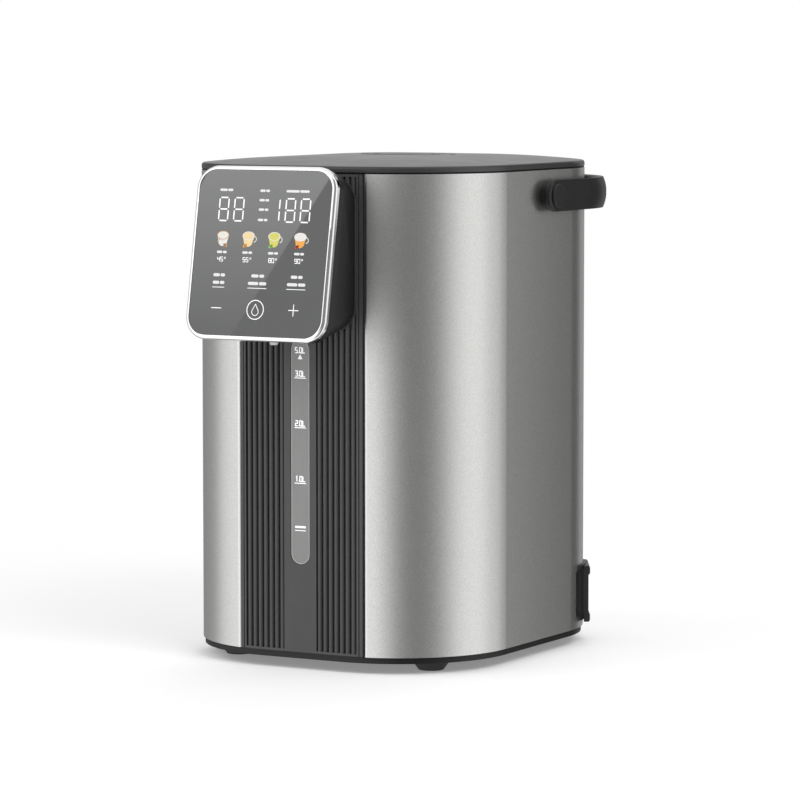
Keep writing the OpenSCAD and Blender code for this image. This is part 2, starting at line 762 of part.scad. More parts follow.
// Sprung contacts that carry each key's field from the board to the glass
module touch_springs() color([0.75, 0.72, 0.6]) seat() head_frame() for (p = key_at)
    translate([p[0], 0, p[1]]) {
        translate([0, reflector_y - 0.1, 0]) bar_y(3.6, 0, 0.6);
        translate([0, board_y - 7.6, 0]) bar_y(1.6, 0, 7.6);
    }

module neck_screws() color([0.6, 0.6, 0.62]) seat() for (p = neck_screw_at)
    translate([p[0], panel_back_y, p[1]]) rotate([-90, 0, 0]) screw(2.8, 1.6, 1.25, panel_t + 1.9);

// ---- Top ----------------------------------------------------------------------------------------

// Collar: closes the shell's top, carries the lid and leads into the tank's mouth
module top_collar() color([0.2, 0.2, 0.21]) seat() difference() {
    union() {
        plan_slab(shell_t + slip, collar_under_z, collar_z);
        plan_slab(0.4, shell_z1, collar_z);
        plan_band(shell_t + slip, 2, collar_under_z - 7, collar_under_z + tiny);
        translate([0, tank_y, 0]) tube(tank_r + flange_w + slip + rim_ring_t,
            tank_r + flange_w + slip, tank_rim_z - tank_t - 1, collar_under_z + tiny);
    }
    translate([0, tank_y, 0]) {
        disc(mouth_r, collar_under_z - 9, collar_z + 1);
        disc(ledge_r, ledge_z, collar_z + 1);
    }
    block(-hem_x - hem_r - slip, hem_x + hem_r + slip, front_y - 1,
        plan_front(panel_w / 2) + panel_t + 0.4, collar_under_z - 9, panel_z1 + slip);
    mirrored_x() block(hem_x - slip, hem_x + hem_r + slip, front_y - 1, front_y + hem_d + 0.4,
        collar_under_z - 9, panel_z1 + slip);
    block(-slide_w / 2 - 1.5, slide_w / 2 + 1.5, slot_front_y, slot_rear_y,
        collar_under_z - 9, collar_z + 1);
    for (s = [-1, 1]) translate([s * (arm_x0 - 4.2), pivot_y, pivot_z])
        bar_x(14, -8, 8);
    for (p = deck_screw_at) translate([p[0], p[1], 0]) disc(1.7, collar_under_z - 1, collar_z + 1);
}

// Fixed deck behind the lid, in line with its crown, with the hinge's outer knuckles
module rear_deck() color([0.22, 0.22, 0.23]) seat() {
    y0 = lid_back_y + lid_seam;
    difference() {
        intersection() {
            crown(0, collar_z, crown_z, lid_edge_r);
            block(-body_w, body_w, y0, body_d, 0, crown_z + 1);
        }
        intersection() {
            crown(lid_wall, collar_z - 1, crown_z - lid_wall, 0);
            mirrored_x() block(hinge_half + 16, body_w, y0 + lid_wall, body_d, 0, crown_z);
        }
        block(-hinge_half - slip, hinge_half + slip, y0 - 1, hinge_y + 4.2, 0, crown_z + 1);
        translate([0, hinge_y, hinge_z]) bar_x(hinge_pin_r + running, -hinge_half - 12,
            hinge_half + 12);
        for (p = deck_screw_at) translate([p[0], p[1], 0]) disc(1.35, 0, collar_z + 3.4);
    }
    for (p = deck_screw_at) translate([p[0], p[1], 0]) if (abs(p[0]) > hinge_half + 16)
        tube(3.2, 1.35, collar_z, collar_z + 3);
}

module deck_screws() color([0.6, 0.6, 0.62]) seat() for (p = deck_screw_at)
    translate([p[0], p[1], collar_under_z]) mirror([0, 0, 1]) screw(2.8, 1.4, 1.25, collar_t + 2.6);

module hinge_pin() color([0.75, 0.75, 0.77]) seat() translate([0, hinge_y, hinge_z])
    bar_x(hinge_pin_r, -hinge_half - 11.5, hinge_half + 11.5);

// Outline of the finger recess, seen from above
module recess_slab(grow, z0, z1) translate([0, recess_y, z0]) linear_extrude(z1 - z0)
    rounded_rect(recess_w + 2 * grow, recess_d + 2 * grow, recess_r + grow);

// Lid: crowned cover with the finger recess, steam slots and the hinge's middle knuckle
module lid_cover() color([0.24, 0.24, 0.25]) seat() {
    difference() {
        union() {
            difference() {
                intersection() {
                    crown(0, lid_z, crown_z, lid_edge_r);
                    block(-body_w, body_w, -body_d, lid_back_y, 0, crown_z + 1);
                }
                intersection() {
                    crown(lid_wall, lid_z - 1, crown_z - lid_wall, 0);
                    block(-body_w, body_w, -body_d, lid_back_y - lid_wall, 0, crown_z);
                }
            }
            recess_slab(2, recess_floor_z - 2, crown_z - lid_wall + tiny);
            mirrored_x() block(lever_half, lever_half + 7, lever_y - 4, lever_y + 4,
                lever_z - 3.6, crown_z - lid_wall + tiny);
            intersection() {
                block(-hinge_half, hinge_half, lid_back_y - 1, hinge_y, lid_z + 0.4, crown_z);
                crown(0, lid_z, crown_z - 0.6, 0);
            }
            translate([0, hinge_y, hinge_z]) bar_x(knuckle_r, -hinge_half, hinge_half);
            for (p = lid_screw_at) translate([p[0], p[1], 0])
                disc(3.2, lid_z + lid_pad_h + 0.1, lid_z + 4.4);
        }
        recess_slab(0, recess_floor_z, crown_z + 1);
        block(-3.2, 3.2, lever_y - 9.5, lever_y + 1.6, recess_floor_z - 3, recess_floor_z + 1);
        translate([0, lever_y, lever_z]) {
            bar_x(lever_r + 0.3, -lever_half - 0.3, lever_half + 0.3);
            bar_x(lever_pin_r + running, -lever_half - 5, lever_half + 5);
        }
        translate([0, hinge_y, hinge_z]) bar_x(hinge_pin_r + running, -hinge_half - 1,
            hinge_half + 1);
        for (i = [-2:2]) translate([0, duct_y + i * 4, crown_z - 6]) linear_extrude(9)
            rounded_rect(22, 2, 0.99);
        for (p = lid_screw_at) translate([p[0], p[1], 0]) disc(1.3, lid_z, lid_z + 3.9);
    }
}

// Underside of the lid: a flat flange and the cup that plugs the tank's mouth
module lid_inner() color([0.3, 0.3, 0.31]) seat() {
    difference() {
        union() {
            intersection() {
                plan_slab(lid_wall + slip, lid_z, lid_z + lid_flange_t);
                block(-body_w, body_w, -body_d, lid_back_y - lid_wall - slip, 0, crown_z);
            }
            translate([0, tank_y, 0]) disc(plug_r, plug_z, lid_z + tiny);
            for (p = lid_screw_at) translate([p[0], p[1], 0]) disc(4.2, lid_z, lid_z + lid_pad_h);
        }
        translate([0, tank_y, 0]) disc(plug_r - plug_wall, plug_z + plug_wall, crown_z);
        block(-slide_w / 2 - slip, slide_w / 2 + slip, slot_front_y, slide_step_y,
            lid_z - 1, crown_z);
        block(-slide_w / 2 - slip, slide_w / 2 + slip, tank_y - plug_r - 1,
            tank_y - plug_r + plug_wall + 12, lid_z - 1, crown_z);
        translate([0, duct_y, 0]) disc(9 + slip, plug_z - 1, plug_z + plug_wall + 1);
        for (p = lid_screw_at) translate([p[0], p[1], 0]) {
            disc(1.45, lid_z - 1, lid_z + lid_pad_h + 1);
            disc(2.9, lid_z - 1, lid_z + 1);
        }
    }
    for (y = guide_at) difference() {
        block(-slide_w / 2 - 3, slide_w / 2 + 3, y, y + 5, plug_z + plug_wall - tiny,
            slide_z + slide_t + 0.5);
        block(-slide_w / 2 - slip, slide_w / 2 + slip, y - 1, y + 6, slide_z - slip, crown_z);
        block(-slide_w / 2 + 1, slide_w / 2 - 1, y - 1, y + 6, plug_z + plug_wall + 3, crown_z);
    }
}

// Steel disc under the plug, with a ring of steam holes
module lid_plate() color([0.78, 0.78, 0.79]) seat() {
    plate_t = 0.8;
    difference() {
        translate([0, tank_y, 0]) disc(plug_r - 1, plug_z - plate_t, plug_z);
        translate([0, duct_y, 0]) for (a = [0:45:315]) rotate([0, 0, a]) translate([5, 0, 0])
            disc(1.2, plug_z - 3, plug_z + 1);
    }
}

// Silicone ring that seals on the collar's ledge
module lid_gasket() color([0.85, 0.85, 0.84]) seat() translate([0, tank_y, 0])
    rotate_extrude() translate([mouth_r + 1, 0]) {
        translate([0, lid_z - 1]) square([gasket_w - 1, 1]);
        translate([2.5, lid_z - 1.1]) circle(0.7);
    }

module lid_screws() color([0.6, 0.6, 0.62]) seat() for (p = lid_screw_at)
    translate([p[0], p[1], lid_z + 1]) mirror([0, 0, 1]) screw(2.6, 0.9, 1.2, 2.8);

// Steam passage from the plug up to the slots, with the spill valve's seat
module steam_duct() color([0.32, 0.32, 0.33]) seat() translate([0, duct_y, 0]) {
    top_z = crown_z - lid_wall - crown_drop(duct_y + duct_r) - 0.1;
    seat_z = valve_z + valve_h + valve_travel + slip;
    difference() {
        union() {
            disc(9, plug_z, top_z - 4);
            disc(duct_r, top_z - 5, top_z);
        }
        disc(valve_r + 0.8, plug_z + 1.6, seat_z);
        disc(valve_r - 1.7, seat_z - 1, top_z + 1);
        disc(duct_r - 1.5, top_z - 3.4, top_z + 1);
        for (a = [0:60:300]) rotate([0, 0, a]) translate([5.2, 0, 0])
            disc(1, plug_z - 1, plug_z + 2);
    }
}

// Float that shuts the steam passage when the pot tips over
module spill_valve() color([0.88, 0.86, 0.8]) seat() translate([0, duct_y, valve_z]) {
    disc(valve_r, 0, valve_h - 3);
    translate([0, 0, valve_h - 3 - tiny]) cylinder(r1 = valve_r - 0.8, r2 = valve_r - 2.6, h = 3);
}

// Finger lever: a paddle flush with the crown, and the arm that drives the latch
module lid_lever() color([0.12, 0.12, 0.13]) seat() {
    difference() {
        union() {
            intersection() {
                recess_slab(-0.6, recess_floor_z + 0.5, crown_z - 0.1);
                union() {
                    block(-recess_w, recess_w, recess_y - 2, lever_y - 6, lever_z - 0.4, crown_z);
                    block(-lever_half, lever_half, recess_y - 2, lever_y, lever_z - 0.4, crown_z);
                    block(-recess_w, recess_w, recess_y - 2, recess_y, lever_z - 2.4, crown_z);
                }
            }
            translate([0, lever_y, lever_z]) bar_x(lever_r, -lever_half, lever_half);
            block(-2.2, 2.2, lever_y - 1.1, lever_y + 1.1, slide_z - 1.5, lever_z);
        }
        block(lever_gap_x, lever_gap_x + 6, lever_y - 4.5, lever_y + 3, lever_z - 4, crown_z + 1);
        translate([0, lever_y, lever_z]) bar_x(lever_pin_r + running, -recess_w, recess_w);
    }
}

module lever_pin() color([0.75, 0.75, 0.77]) seat() translate([0, lever_y, lever_z])
    bar_x(lever_pin_r, -lever_half - 4.5, lever_half + 4.5);

// Torsion spring on the lever's pin
module lever_spring() color([0.7, 0.7, 0.72]) seat() {
    turns = 4;
    steps = 16;
    sides = 6;
    translate([lever_gap_x + 0.8, lever_y, lever_z]) polyhedron(
        coil_points(1.75, 0.35, 1.05, turns, steps, sides),
        coil_faces(turns * steps + 1, sides), convexity = 6);
}

// Stamped strip that catches under the collar; the lever's arm stands in its window
module latch_slide() color([0.72, 0.72, 0.74]) seat() difference() {
    union() {
        block(-slide_w / 2, slide_w / 2, slide_step_y, lever_y + 6, slide_z, slide_z + slide_t);
        block(-slide_w / 2, slide_w / 2, slide_step_y, slide_step_y + slide_t, slide_z,
            slide_front_z + slide_t);
        block(-slide_w / 2, slide_w / 2, latch_y, slide_step_y + slide_t, slide_front_z,
            slide_front_z + slide_t);
        block(-slide_w / 2, slide_w / 2, latch_y, latch_y + slide_t, collar_under_z - 3,
            slide_front_z + slide_t);
        block(-slide_w / 2, slide_w / 2, latch_y, slot_rear_y - 0.5, collar_under_z - 3,
            collar_under_z - 1.5);
    }
    block(-2.6, 2.6, lever_y - 2.6, lever_y + 2.6, slide_z - 1, slide_z + slide_t + 1);
}

// ---- Handle -------------------------------------------------------------------------------------

// Section of the handle: rounded bar with a crowned outer face towards +X
module handle_section() intersection() {
    rounded_rect(grip_t, grip_h, grip_edge_r);
    translate([grip_t / 2 + 0.1 - grip_crown_r, 0]) circle(grip_crown_r);
}

// U-shaped carry handle; its arms end in round eyes on the pivots
module handle() color([0.2, 0.2, 0.21]) seat() difference() {
    union() {
        corner_y = grip_y1 - grip_r;
        for (s = [0, 1]) mirror([s, 0, 0]) {
            translate([arm_x1 - grip_r, corner_y, pivot_z]) rotate_extrude(angle = 90)
                translate([grip_r - grip_t / 2, 0]) handle_section();
            translate([arm_x0 + grip_t / 2, corner_y, pivot_z]) rotate([90, 0, 0])
                linear_extrude(corner_y - pivot_y) handle_section();
            translate([arm_x0, pivot_y, pivot_z]) rotate([0, 90, 0]) handle_eye();
        }
        translate([0, grip_y1 - grip_t / 2, pivot_z]) rotate([90, 0, 90])
            translate([0, 0, -(arm_x1 - grip_r)]) linear_extrude(2 * (arm_x1 - grip_r))
            handle_section();
    }
    for (s = [-1, 1]) translate([0, pivot_y, pivot_z]) {
        bar_x(pin_r + running, s > 0 ? arm_x0 - 1 : -arm_x1 - 1, s > 0 ? arm_x1 + 1 : -arm_x0 + 1);
        bar_x(cap_r + slip, s > 0 ? cap_seat_x : -arm_x1 - 1, s > 0 ? arm_x1 + 1 : -cap_seat_x);
    }
}

// Round end of an arm: half a turn of the arm's own section about the pivot
module handle_eye() rotate([0, 0, 180]) rotate_extrude(angle = 180) intersection() {
    translate([0, grip_t / 2]) mirror([1, -1, 0]) handle_section();
    square([grip_h, grip_t]);
}

// Round bosses between the shell and the arms, with spigots through the shell
module handle_bosses() color([0.1, 0.1, 0.11]) seat() for (s = [0, 1]) mirror([s, 0, 0])
    translate([0, pivot_y, pivot_z]) difference() {
        union() {
            bar_x(boss_r, body_w / 2, arm_x0 - slip);
            bar_x(spigot_r, body_w / 2 - shell_t - 1.2, body_w / 2 + tiny);
        }
        bar_x(2.6, 0, body_w);
    }

// Shoulder screws on which the arms turn
module handle_pins() color([0.7, 0.7, 0.72]) seat() for (s = [0, 1]) mirror([s, 0, 0])
    translate([0, pivot_y, pivot_z]) difference() {
        union() {
            bar_x(2.5, body_w / 2 - 6.4, arm_x0);
            bar_x(pin_r, arm_x0 - slip, cap_seat_x + 0.2);
            bar_x(6.8, cap_seat_x + 0.15, cap_seat_x + 1.8);
        }
        translate([cap_seat_x + 1, 0, 0]) bar_x(2, 0, 3, $fn = 6);
    }

// Caps over the screws, standing proud of the arms with a rounded rim
module handle_caps() color([0.22, 0.22, 0.23]) seat() for (s = [0, 1]) mirror([s, 0, 0])
    translate([cap_seat_x + 2.1, pivot_y, pivot_z]) rotate([0, 90, 0]) rotate_extrude() {
        cap_t = arm_x1 + cap_proud - cap_seat_x - 2.1;
        square([cap_r - cap_edge_r, cap_t]);
        square([cap_r, cap_t - cap_edge_r]);
        translate([cap_r - cap_edge_r, cap_t - cap_edge_r]) circle(cap_edge_r);
    }

// Nuts that clamp the bosses from inside the shell
module handle_nuts() color([0.66, 0.66, 0.68]) seat() for (s = [0, 1]) mirror([s, 0, 0])
    translate([0, pivot_y, pivot_z]) difference() {
        union() {
            bar_x(nut_r, body_w / 2 - shell_t - 2.4, body_w / 2 - shell_t - 1.2);
            bar_x(5, body_w / 2 - shell_t - 5.4, body_w / 2 - shell_t - 2.3, $fn = 6);
        }
        bar_x(2.6, 0, body_w);
    }

// ---- Tank and heat ------------------------------------------------------------------------------

// Deep-drawn tank: rounded floor, flanged rim, drain at the front
module inner_tank() color([0.75, 0.75, 0.76]) seat() {
    difference() {
        union() {
            translate([0, tank_y, 0]) rotate_extrude() {
                translate([0, tank_under_z]) square([tank_r + tank_t - tank_bend_r, tank_t]);
                translate([tank_r, tank_under_z + tank_bend_r])
                    square([tank_t, tank_rim_z - tank_under_z - tank_bend_r]);
                translate([tank_r + tank_t - tank_bend_r, tank_under_z + tank_bend_r])
                    intersection() {
                        difference() {
                            circle(tank_bend_r);
                            circle(tank_bend_r - tank_t);
                        }
                        translate([0, -tank_bend_r]) square(tank_bend_r);
                    }
                translate([tank_r, tank_rim_z - tank_t]) square([flange_w, tank_t]);
            }
            translate([-pump_x, pump_y, 0]) disc(6, tank_under_z - spigot_drop,
                tank_under_z + tiny);
        }
        translate([-pump_x, pump_y, 0]) disc(5, tank_under_z - spigot_drop - 1, tank_floor_z + 1);
    }
}

module tank_seal() color([0.88, 0.88, 0.86]) seat() translate([0, tank_y, 0])
    tube(tank_r + flange_w - 2.2, mouth_r + 2, tank_rim_z, collar_under_z);

// Fibre jacket between tank and shell
module insulation_jacket() color([0.8, 0.78, 0.7]) seat() translate([0, tank_y, 0])
    tube(tank_r + tank_t + 5.5, tank_r + tank_t + 0.2, band_z + band_h + 4,
        pivot_z - nut_r - 1.5);

// Keep-warm band: a clamped ring with its ears at the back
module band_heater() color([0.68, 0.64, 0.55]) seat() translate([0, tank_y, 0]) {
    r0 = tank_r + tank_t + 0.1;
    difference() {
        tube(r0 + 1.4, r0, band_z, band_z + band_h);
        block(-3, 3, 0, body_d, 0, shell_z1);
    }
    mirrored_x() difference() {
        block(3, 4.2, r0 + 0.6, r0 + 9, band_z + 4, band_z + band_h - 4);
        translate([0, r0 + 5.6, band_z + band_h / 2]) bar_x(1.6, 0, 9);
    }
    translate([0, r0 + 5.6, band_z + band_h / 2]) bar_x(1.5, -5.6, 5.6);
}

// Stamped cradle that carries the tank on three legs
module tank_cradle() color([0.62, 0.63, 0.65]) seat() {
    t = 1.2;
    z1 = tank_under_z;
    difference() {
        union() {
            translate([0, tank_y, 0]) tube(cradle_r, heater_r + 1.2, z1 - t, z1);
            for (i = [0:2]) translate([0, tank_y, 0]) rotate([0, 0, cradle_angle[i]]) {
                block(cradle_r - 5 - t, cradle_r - 5, -9, 9, foot_h + base_t, z1 - t / 2);
                block(cradle_r - 14, cradle_r - 5 - t / 2, -9, 9, foot_h + base_t,
                    foot_h + base_t + t);
            }
        }
        translate([-pump_x, pump_y, 0]) disc(9.4, 0, z1 + 1);
        for (p = cradle_foot_at) translate([p[0], p[1], 0]) disc(1.6, 0, foot_h + base_t + 5);
    }
}

// Cast plate pressed to the tank's floor, grooved for the element
module heater_plate() color([0.7, 0.71, 0.73]) seat() translate([0, tank_y, 0]) difference() {
    disc(heater_r, tank_under_z - 6, tank_under_z);
    translate([0, 0, tank_under_z - 6]) rotate_extrude() translate([element_ring_r, 0])
        circle(element_r + 0.1);
    translate([-20, 22, 0]) disc(2.7, 0, tank_under_z - 1);
}

// Tubular element: an open ring with its two cold ends turned down
module heater_element() color([0.45, 0.45, 0.47]) seat()
    translate([0, tank_y, tank_under_z - 6]) {
        half_gap = 18;
        rotate([0, 0, -90 + half_gap]) rotate_extrude(angle = 360 - 2 * half_gap)
            translate([element_ring_r, 0]) circle(element_r);
        for (s = [-1, 1]) rotate([0, 0, -90 + s * half_gap]) translate([element_ring_r, 0, 0]) {
            disc(element_r, -9, 0);
            disc(1.2, -15, -9 + tiny);
        }
    }

// Boil-dry cut-out under the middle of the plate
module thermostat() color([0.2, 0.2, 0.22]) seat() translate([0, tank_y, 0]) {
    z1 = tank_under_z - 6;
    disc(12, z1 - 1, z1);
    disc(9, z1 - 9, z1 - 1 + tiny);
    mirrored_x() block(4, 4.8, -3, 3, z1 - 16, z1 - 9 + tiny);
}

module temperature_sensor() color([0.72, 0.6, 0.3]) seat() translate([-20, tank_y + 22, 0]) {
    disc(2.5, tank_under_z - 11, tank_under_z - 1);
    disc(4, tank_under_z - 14, tank_under_z - 11 + tiny);
}

module thermal_fuse() color([0.8, 0.78, 0.74]) seat()
    translate([19, tank_y + 18, tank_under_z - 6 - 2.6]) {
        bar_x(2.2, -8, 8);
        bar_x(0.6, -12, 12);
        mirrored_x() block(4, 6, -2.6, 2.6, -2.4, 2.6);
    }

// ---- Pump ---------------------------------------------------------------------------------------

module at_pump() seat() translate([-pump_x, pump_y, 0]) children();

// Three screw ears round the pump
module at_ears() for (a = [30, 150, 270])
    rotate([0, 0, a]) translate([pump_r + 1.6, 0, 0]) children();

module drain_hose() color([0.85, 0.85, 0.83]) at_pump()
    tube(8.6, 6.1, pump_top_z + 1, tank_under_z - 1);

// Lid of the pump with the inlet spigot and three screw ears
module pump_cover() color([0.87, 0.87, 0.85]) at_pump() difference() {
    union() {
        disc(pump_r, pump_top_z - 3, pump_top_z);
        disc(6, pump_top_z - tiny, pump_top_z + 8);
        at_ears() disc(ear_r, pump_top_z - 3, pump_top_z);
    }
    disc(4.4, pump_top_z - 4, pump_top_z + 9);
    at_ears() disc(1.3, pump_top_z - 4, pump_top_z + 1);
}

// Volute with the tangential outlet, the dividing wall and the skirt over the drive magnet
module pump_body() color([0.84, 0.84, 0.82]) at_pump() {
    z1 = pump_top_z - 3;
    difference() {
        union() {
            disc(pump_r, motor_top_z, z1);
            at_ears() disc(ear_r, z1 - 8, z1);
            translate([outlet_x + pump_x, 0, outlet_z]) bar_y(hose_bore_r - slip / 2,
                gauge_y + 10 - pump_y, 0);
        }
        disc(pump_r - 3.5, volute_z0 + 2, z1 + 1);
        disc(motor_r, motor_top_z - 1, volute_z0);
        disc(1.52, volute_z0 + 0.6, volute_z0 + 3);
        translate([outlet_x + pump_x, 0, outlet_z]) bar_y(3, -body_d, 0);
        at_ears() disc(1.3, z1 - 7, z1 + 1);
    }
}

// Impeller: disc with curved vanes and a hub that carries the driven magnet
module impeller() color([0.2, 0.35, 0.55]) at_pump() {
    z0 = volute_z0 + 2.6;
    vane_r = 11;
    difference() {
        union() {
            disc(15.5, z0, z0 + 1.8);
            disc(3.4, z0, z0 + 6.6);
            for (i = [0:vane_count - 1]) rotate([0, 0, i * 360 / vane_count]) intersection() {
                translate([vane_r + 2.4, 0, 0]) tube(vane_r, vane_r - 1.2, z0 + 1.8 - tiny, z0 + 6);
                disc(15.2, z0, z0 + 6);
                block(2, 16, -12, 0, z0, z0 + 7);
            }
        }
        disc(1.5 + running, z0 - 1, z0 + 9);
    }
}

module impeller_pin() color([0.92, 0.92, 0.9]) at_pump()
    disc(1.5, volute_z0 + 0.7, pump_top_z - 3.2);

module motor_can() color([0.6, 0.61, 0.63]) at_pump() difference() {
    union() {
        disc(motor_r, motor_z0, motor_top_z);
        disc(pump_r, motor_top_z - 1.5, motor_top_z);
    }
    disc(motor_r - 1, motor_z0 + 1, motor_top_z - 2.5);
    disc(1.6 + running, motor_z0 + 0.4, motor_top_z + 1);
}

// Motor rotor: shaft, wound core and the drive magnet above the can
module motor_rotor() color([0.55, 0.35, 0.2]) at_pump() {
    disc(1.6, motor_z0 + 0.6, volute_z0 - 0.6);
    disc(9.5, motor_z0 + 4, motor_top_z - 6);
    disc(3, motor_z0 + 1.6, motor_top_z - 3.2);
    disc(12, motor_top_z + 0.8, volute_z0 - 0.7);
}

// Rubber cup that holds the motor clear of the base
module pump_mount() color([0.1, 0.1, 0.1]) at_pump() {
    tube(motor_r - 1, motor_r - 7, foot_h + base_t, motor_z0);
    tube(motor_r + 1.2, motor_r + slip, motor_z0 - 3, motor_z0 + 5);
    tube(motor_r + 1.2, motor_r - 2, motor_z0 - 3, motor_z0 - 1);
}

// ---- Electrics ----------------------------------------------------------------------------------

// Mains board with transformer, relays, capacitor, heat sink and connectors
module power_board() color([0.12, 0.35, 0.2]) seat() {
    z = board_z + 1.6;
    difference() {
        block(3, 63, 9, 67, board_z, z);
        for (p = board_post_at) translate([p[0], p[1], 0]) disc(1.6, board_z - 1, z + 1);
    }
    block(14, 34, 40, 60, z - tiny, z + 20);
    block(40, 52, 42, 58, z - tiny, z + 15);
    block(40, 52, 22, 38, z - tiny, z + 15);
    translate([24, 26, 0]) disc(6.5, z - tiny, z + 18);
    block(8, 11, 24, 52, z - tiny, z + 22);
    for (i = [0:5]) block(10.9, 12.6, 25 + i * 4.6, 26.4 + i * 4.6, z, z + 22);
    block(16, 34, 11, 17, z - tiny, z + 8);
}

// Curved plate with rounded corners that frames the socket
module inlet_flange() color([0.13, 0.13, 0.14]) seat() socket_frame() difference() {
    intersection() {
        translate([0, 0, socket_z0 - 1]) rotate([0, 0, -90]) rotate_extrude(angle = 180)
            translate([body_r + seam, 0]) square([socket_flange_t - seam, socket_h + 2]);
        translate([0, 0, socket_z0 + socket_h / 2]) rotate([90, 0, 90])
            linear_extrude(body_r + 5) rounded_rect(
                2 * (body_r + socket_flange_t) * sin(socket_flange_angle), socket_h, 6);
    }
    block(0, body_r + 5, -socket_half + 2.6, socket_half - 2.6, socket_z0 + 2.6,
        socket_z0 + socket_h - 2.6);
}

// Socket: raised face with a shallow pocket, guide ears above and below, and a body inside
module inlet_socket() color([0.09, 0.09, 0.1]) seat() socket_frame() {
    face_x = body_r + socket_face;
    half = socket_half - 3;
    ear_h = 6;
    difference() {
        union() {
            block(body_r - 14, face_x, -half, half, socket_z0 + 3, socket_z0 + socket_h - 3);
            difference() {
                for (z = [socket_z0 - 1.7, socket_z0 + socket_h - 1 - ear_h])
                    translate([face_x - 2, half, z + ear_h / 2]) rotate([90, 0, 0])
                        linear_extrude(2 * half) rounded_rect(6, ear_h, 1.5);
                disc(body_r + socket_flange_t + slip, 0, shell_z1);
            }
        }
        block(face_x - socket_pocket, face_x + 2, -half + 3, half - 3, socket_z0 + 9.6,
            socket_z0 + socket_h - 9.6);
        for (y = [-9, 0, 9]) translate([0, y, socket_z0 + socket_h / 2])
            bar_x(1.8, body_r - 20, face_x);
    }
}

module inlet_pins() color([0.85, 0.7, 0.35]) seat() socket_frame() for (y = [-9, 0, 9])
    translate([0, y, socket_z0 + socket_h / 2])
        bar_x(1.7, body_r - 18, body_r + socket_face - 1);

// ---- Drawing ------------------------------------------------------------------------------------

outer_shell();
base_ring();
base_cover();
feet();
base_screws();
front_panel();
gauge_window();
gauge_tube();
riser_hose();
outlet_hose();
nozzle();
head_housing();
head_bezel();
display_glass();
display_reflector();
display_board();
touch_springs();
neck_screws();
top_collar();
rear_deck();
deck_screws();
hinge_pin();
lid_cover();
lid_inner();
lid_plate();
lid_gasket();
lid_screws();
steam_duct();
spill_valve();
lid_lever();
lever_pin();
lever_spring();
latch_slide();
handle();
handle_bosses();
handle_pins();
handle_caps();
handle_nuts();
inner_tank();
tank_seal();
insulation_jacket();
band_heater();
tank_cradle();
heater_plate();
heater_element();
thermostat();
temperature_sensor();
thermal_fuse();
drain_hose();
pump_cover();
pump_body();
impeller();
impeller_pin();
motor_can();
motor_rotor();
pump_mount();
power_board();
inlet_flange();
inlet_socket();
inlet_pins();
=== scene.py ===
"""Looks for an electric thermo pot: its finishes, printed marks, camera and studio.

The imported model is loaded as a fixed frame. Lengths are metres in that frame unless a name ends
in _MM: +Z is up, -Y points to the touch head and +X is to the right seen from the front.
"""
import math

import bmesh
import bpy
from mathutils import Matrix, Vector


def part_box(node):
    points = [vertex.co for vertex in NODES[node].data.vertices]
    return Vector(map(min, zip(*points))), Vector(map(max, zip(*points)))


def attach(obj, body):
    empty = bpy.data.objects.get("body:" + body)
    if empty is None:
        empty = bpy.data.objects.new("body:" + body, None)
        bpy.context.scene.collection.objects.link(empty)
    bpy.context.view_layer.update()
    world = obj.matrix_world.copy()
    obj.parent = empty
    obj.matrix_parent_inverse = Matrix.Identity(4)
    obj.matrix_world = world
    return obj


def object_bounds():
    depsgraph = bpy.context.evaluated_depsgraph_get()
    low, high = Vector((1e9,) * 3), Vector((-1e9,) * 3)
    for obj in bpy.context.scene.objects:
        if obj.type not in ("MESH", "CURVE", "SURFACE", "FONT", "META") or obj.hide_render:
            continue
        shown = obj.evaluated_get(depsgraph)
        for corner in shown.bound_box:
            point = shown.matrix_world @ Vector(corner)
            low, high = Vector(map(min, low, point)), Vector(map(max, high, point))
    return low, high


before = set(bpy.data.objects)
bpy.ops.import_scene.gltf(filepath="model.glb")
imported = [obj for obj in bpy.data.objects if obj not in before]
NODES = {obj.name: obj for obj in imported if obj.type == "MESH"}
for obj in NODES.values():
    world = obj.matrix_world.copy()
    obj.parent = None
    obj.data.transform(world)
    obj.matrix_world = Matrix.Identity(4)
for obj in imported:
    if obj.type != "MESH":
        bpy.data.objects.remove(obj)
CAD_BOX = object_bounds()
MM = 0.001

# ---- Camera ---------------------------------------------------------------------------------

# Fitted to the outlines in the photograph
CAMERA_PLACE = Vector((1.26174, -2.2450017, 0.38838))
CAMERA_PITCH = math.radians(84.948)
CAMERA_HEADING = math.radians(29.045)
CAMERA_LENS_MM = 181.6034
CAMERA_SENSOR_MM = 36.0


def make_camera():
    data = bpy.data.cameras.new("camera")
    data.lens = CAMERA_LENS_MM
    data.sensor_width = CAMERA_SENSOR_MM
    camera = bpy.data.objects.new("camera", data)
    camera.location = CAMERA_PLACE
    camera.rotation_euler = (CAMERA_PITCH, 0, CAMERA_HEADING)
    bpy.context.scene.collection.objects.link(camera)
    bpy.context.scene.camera = camera


# ---- Finishes -------------------------------------------------------------------------------


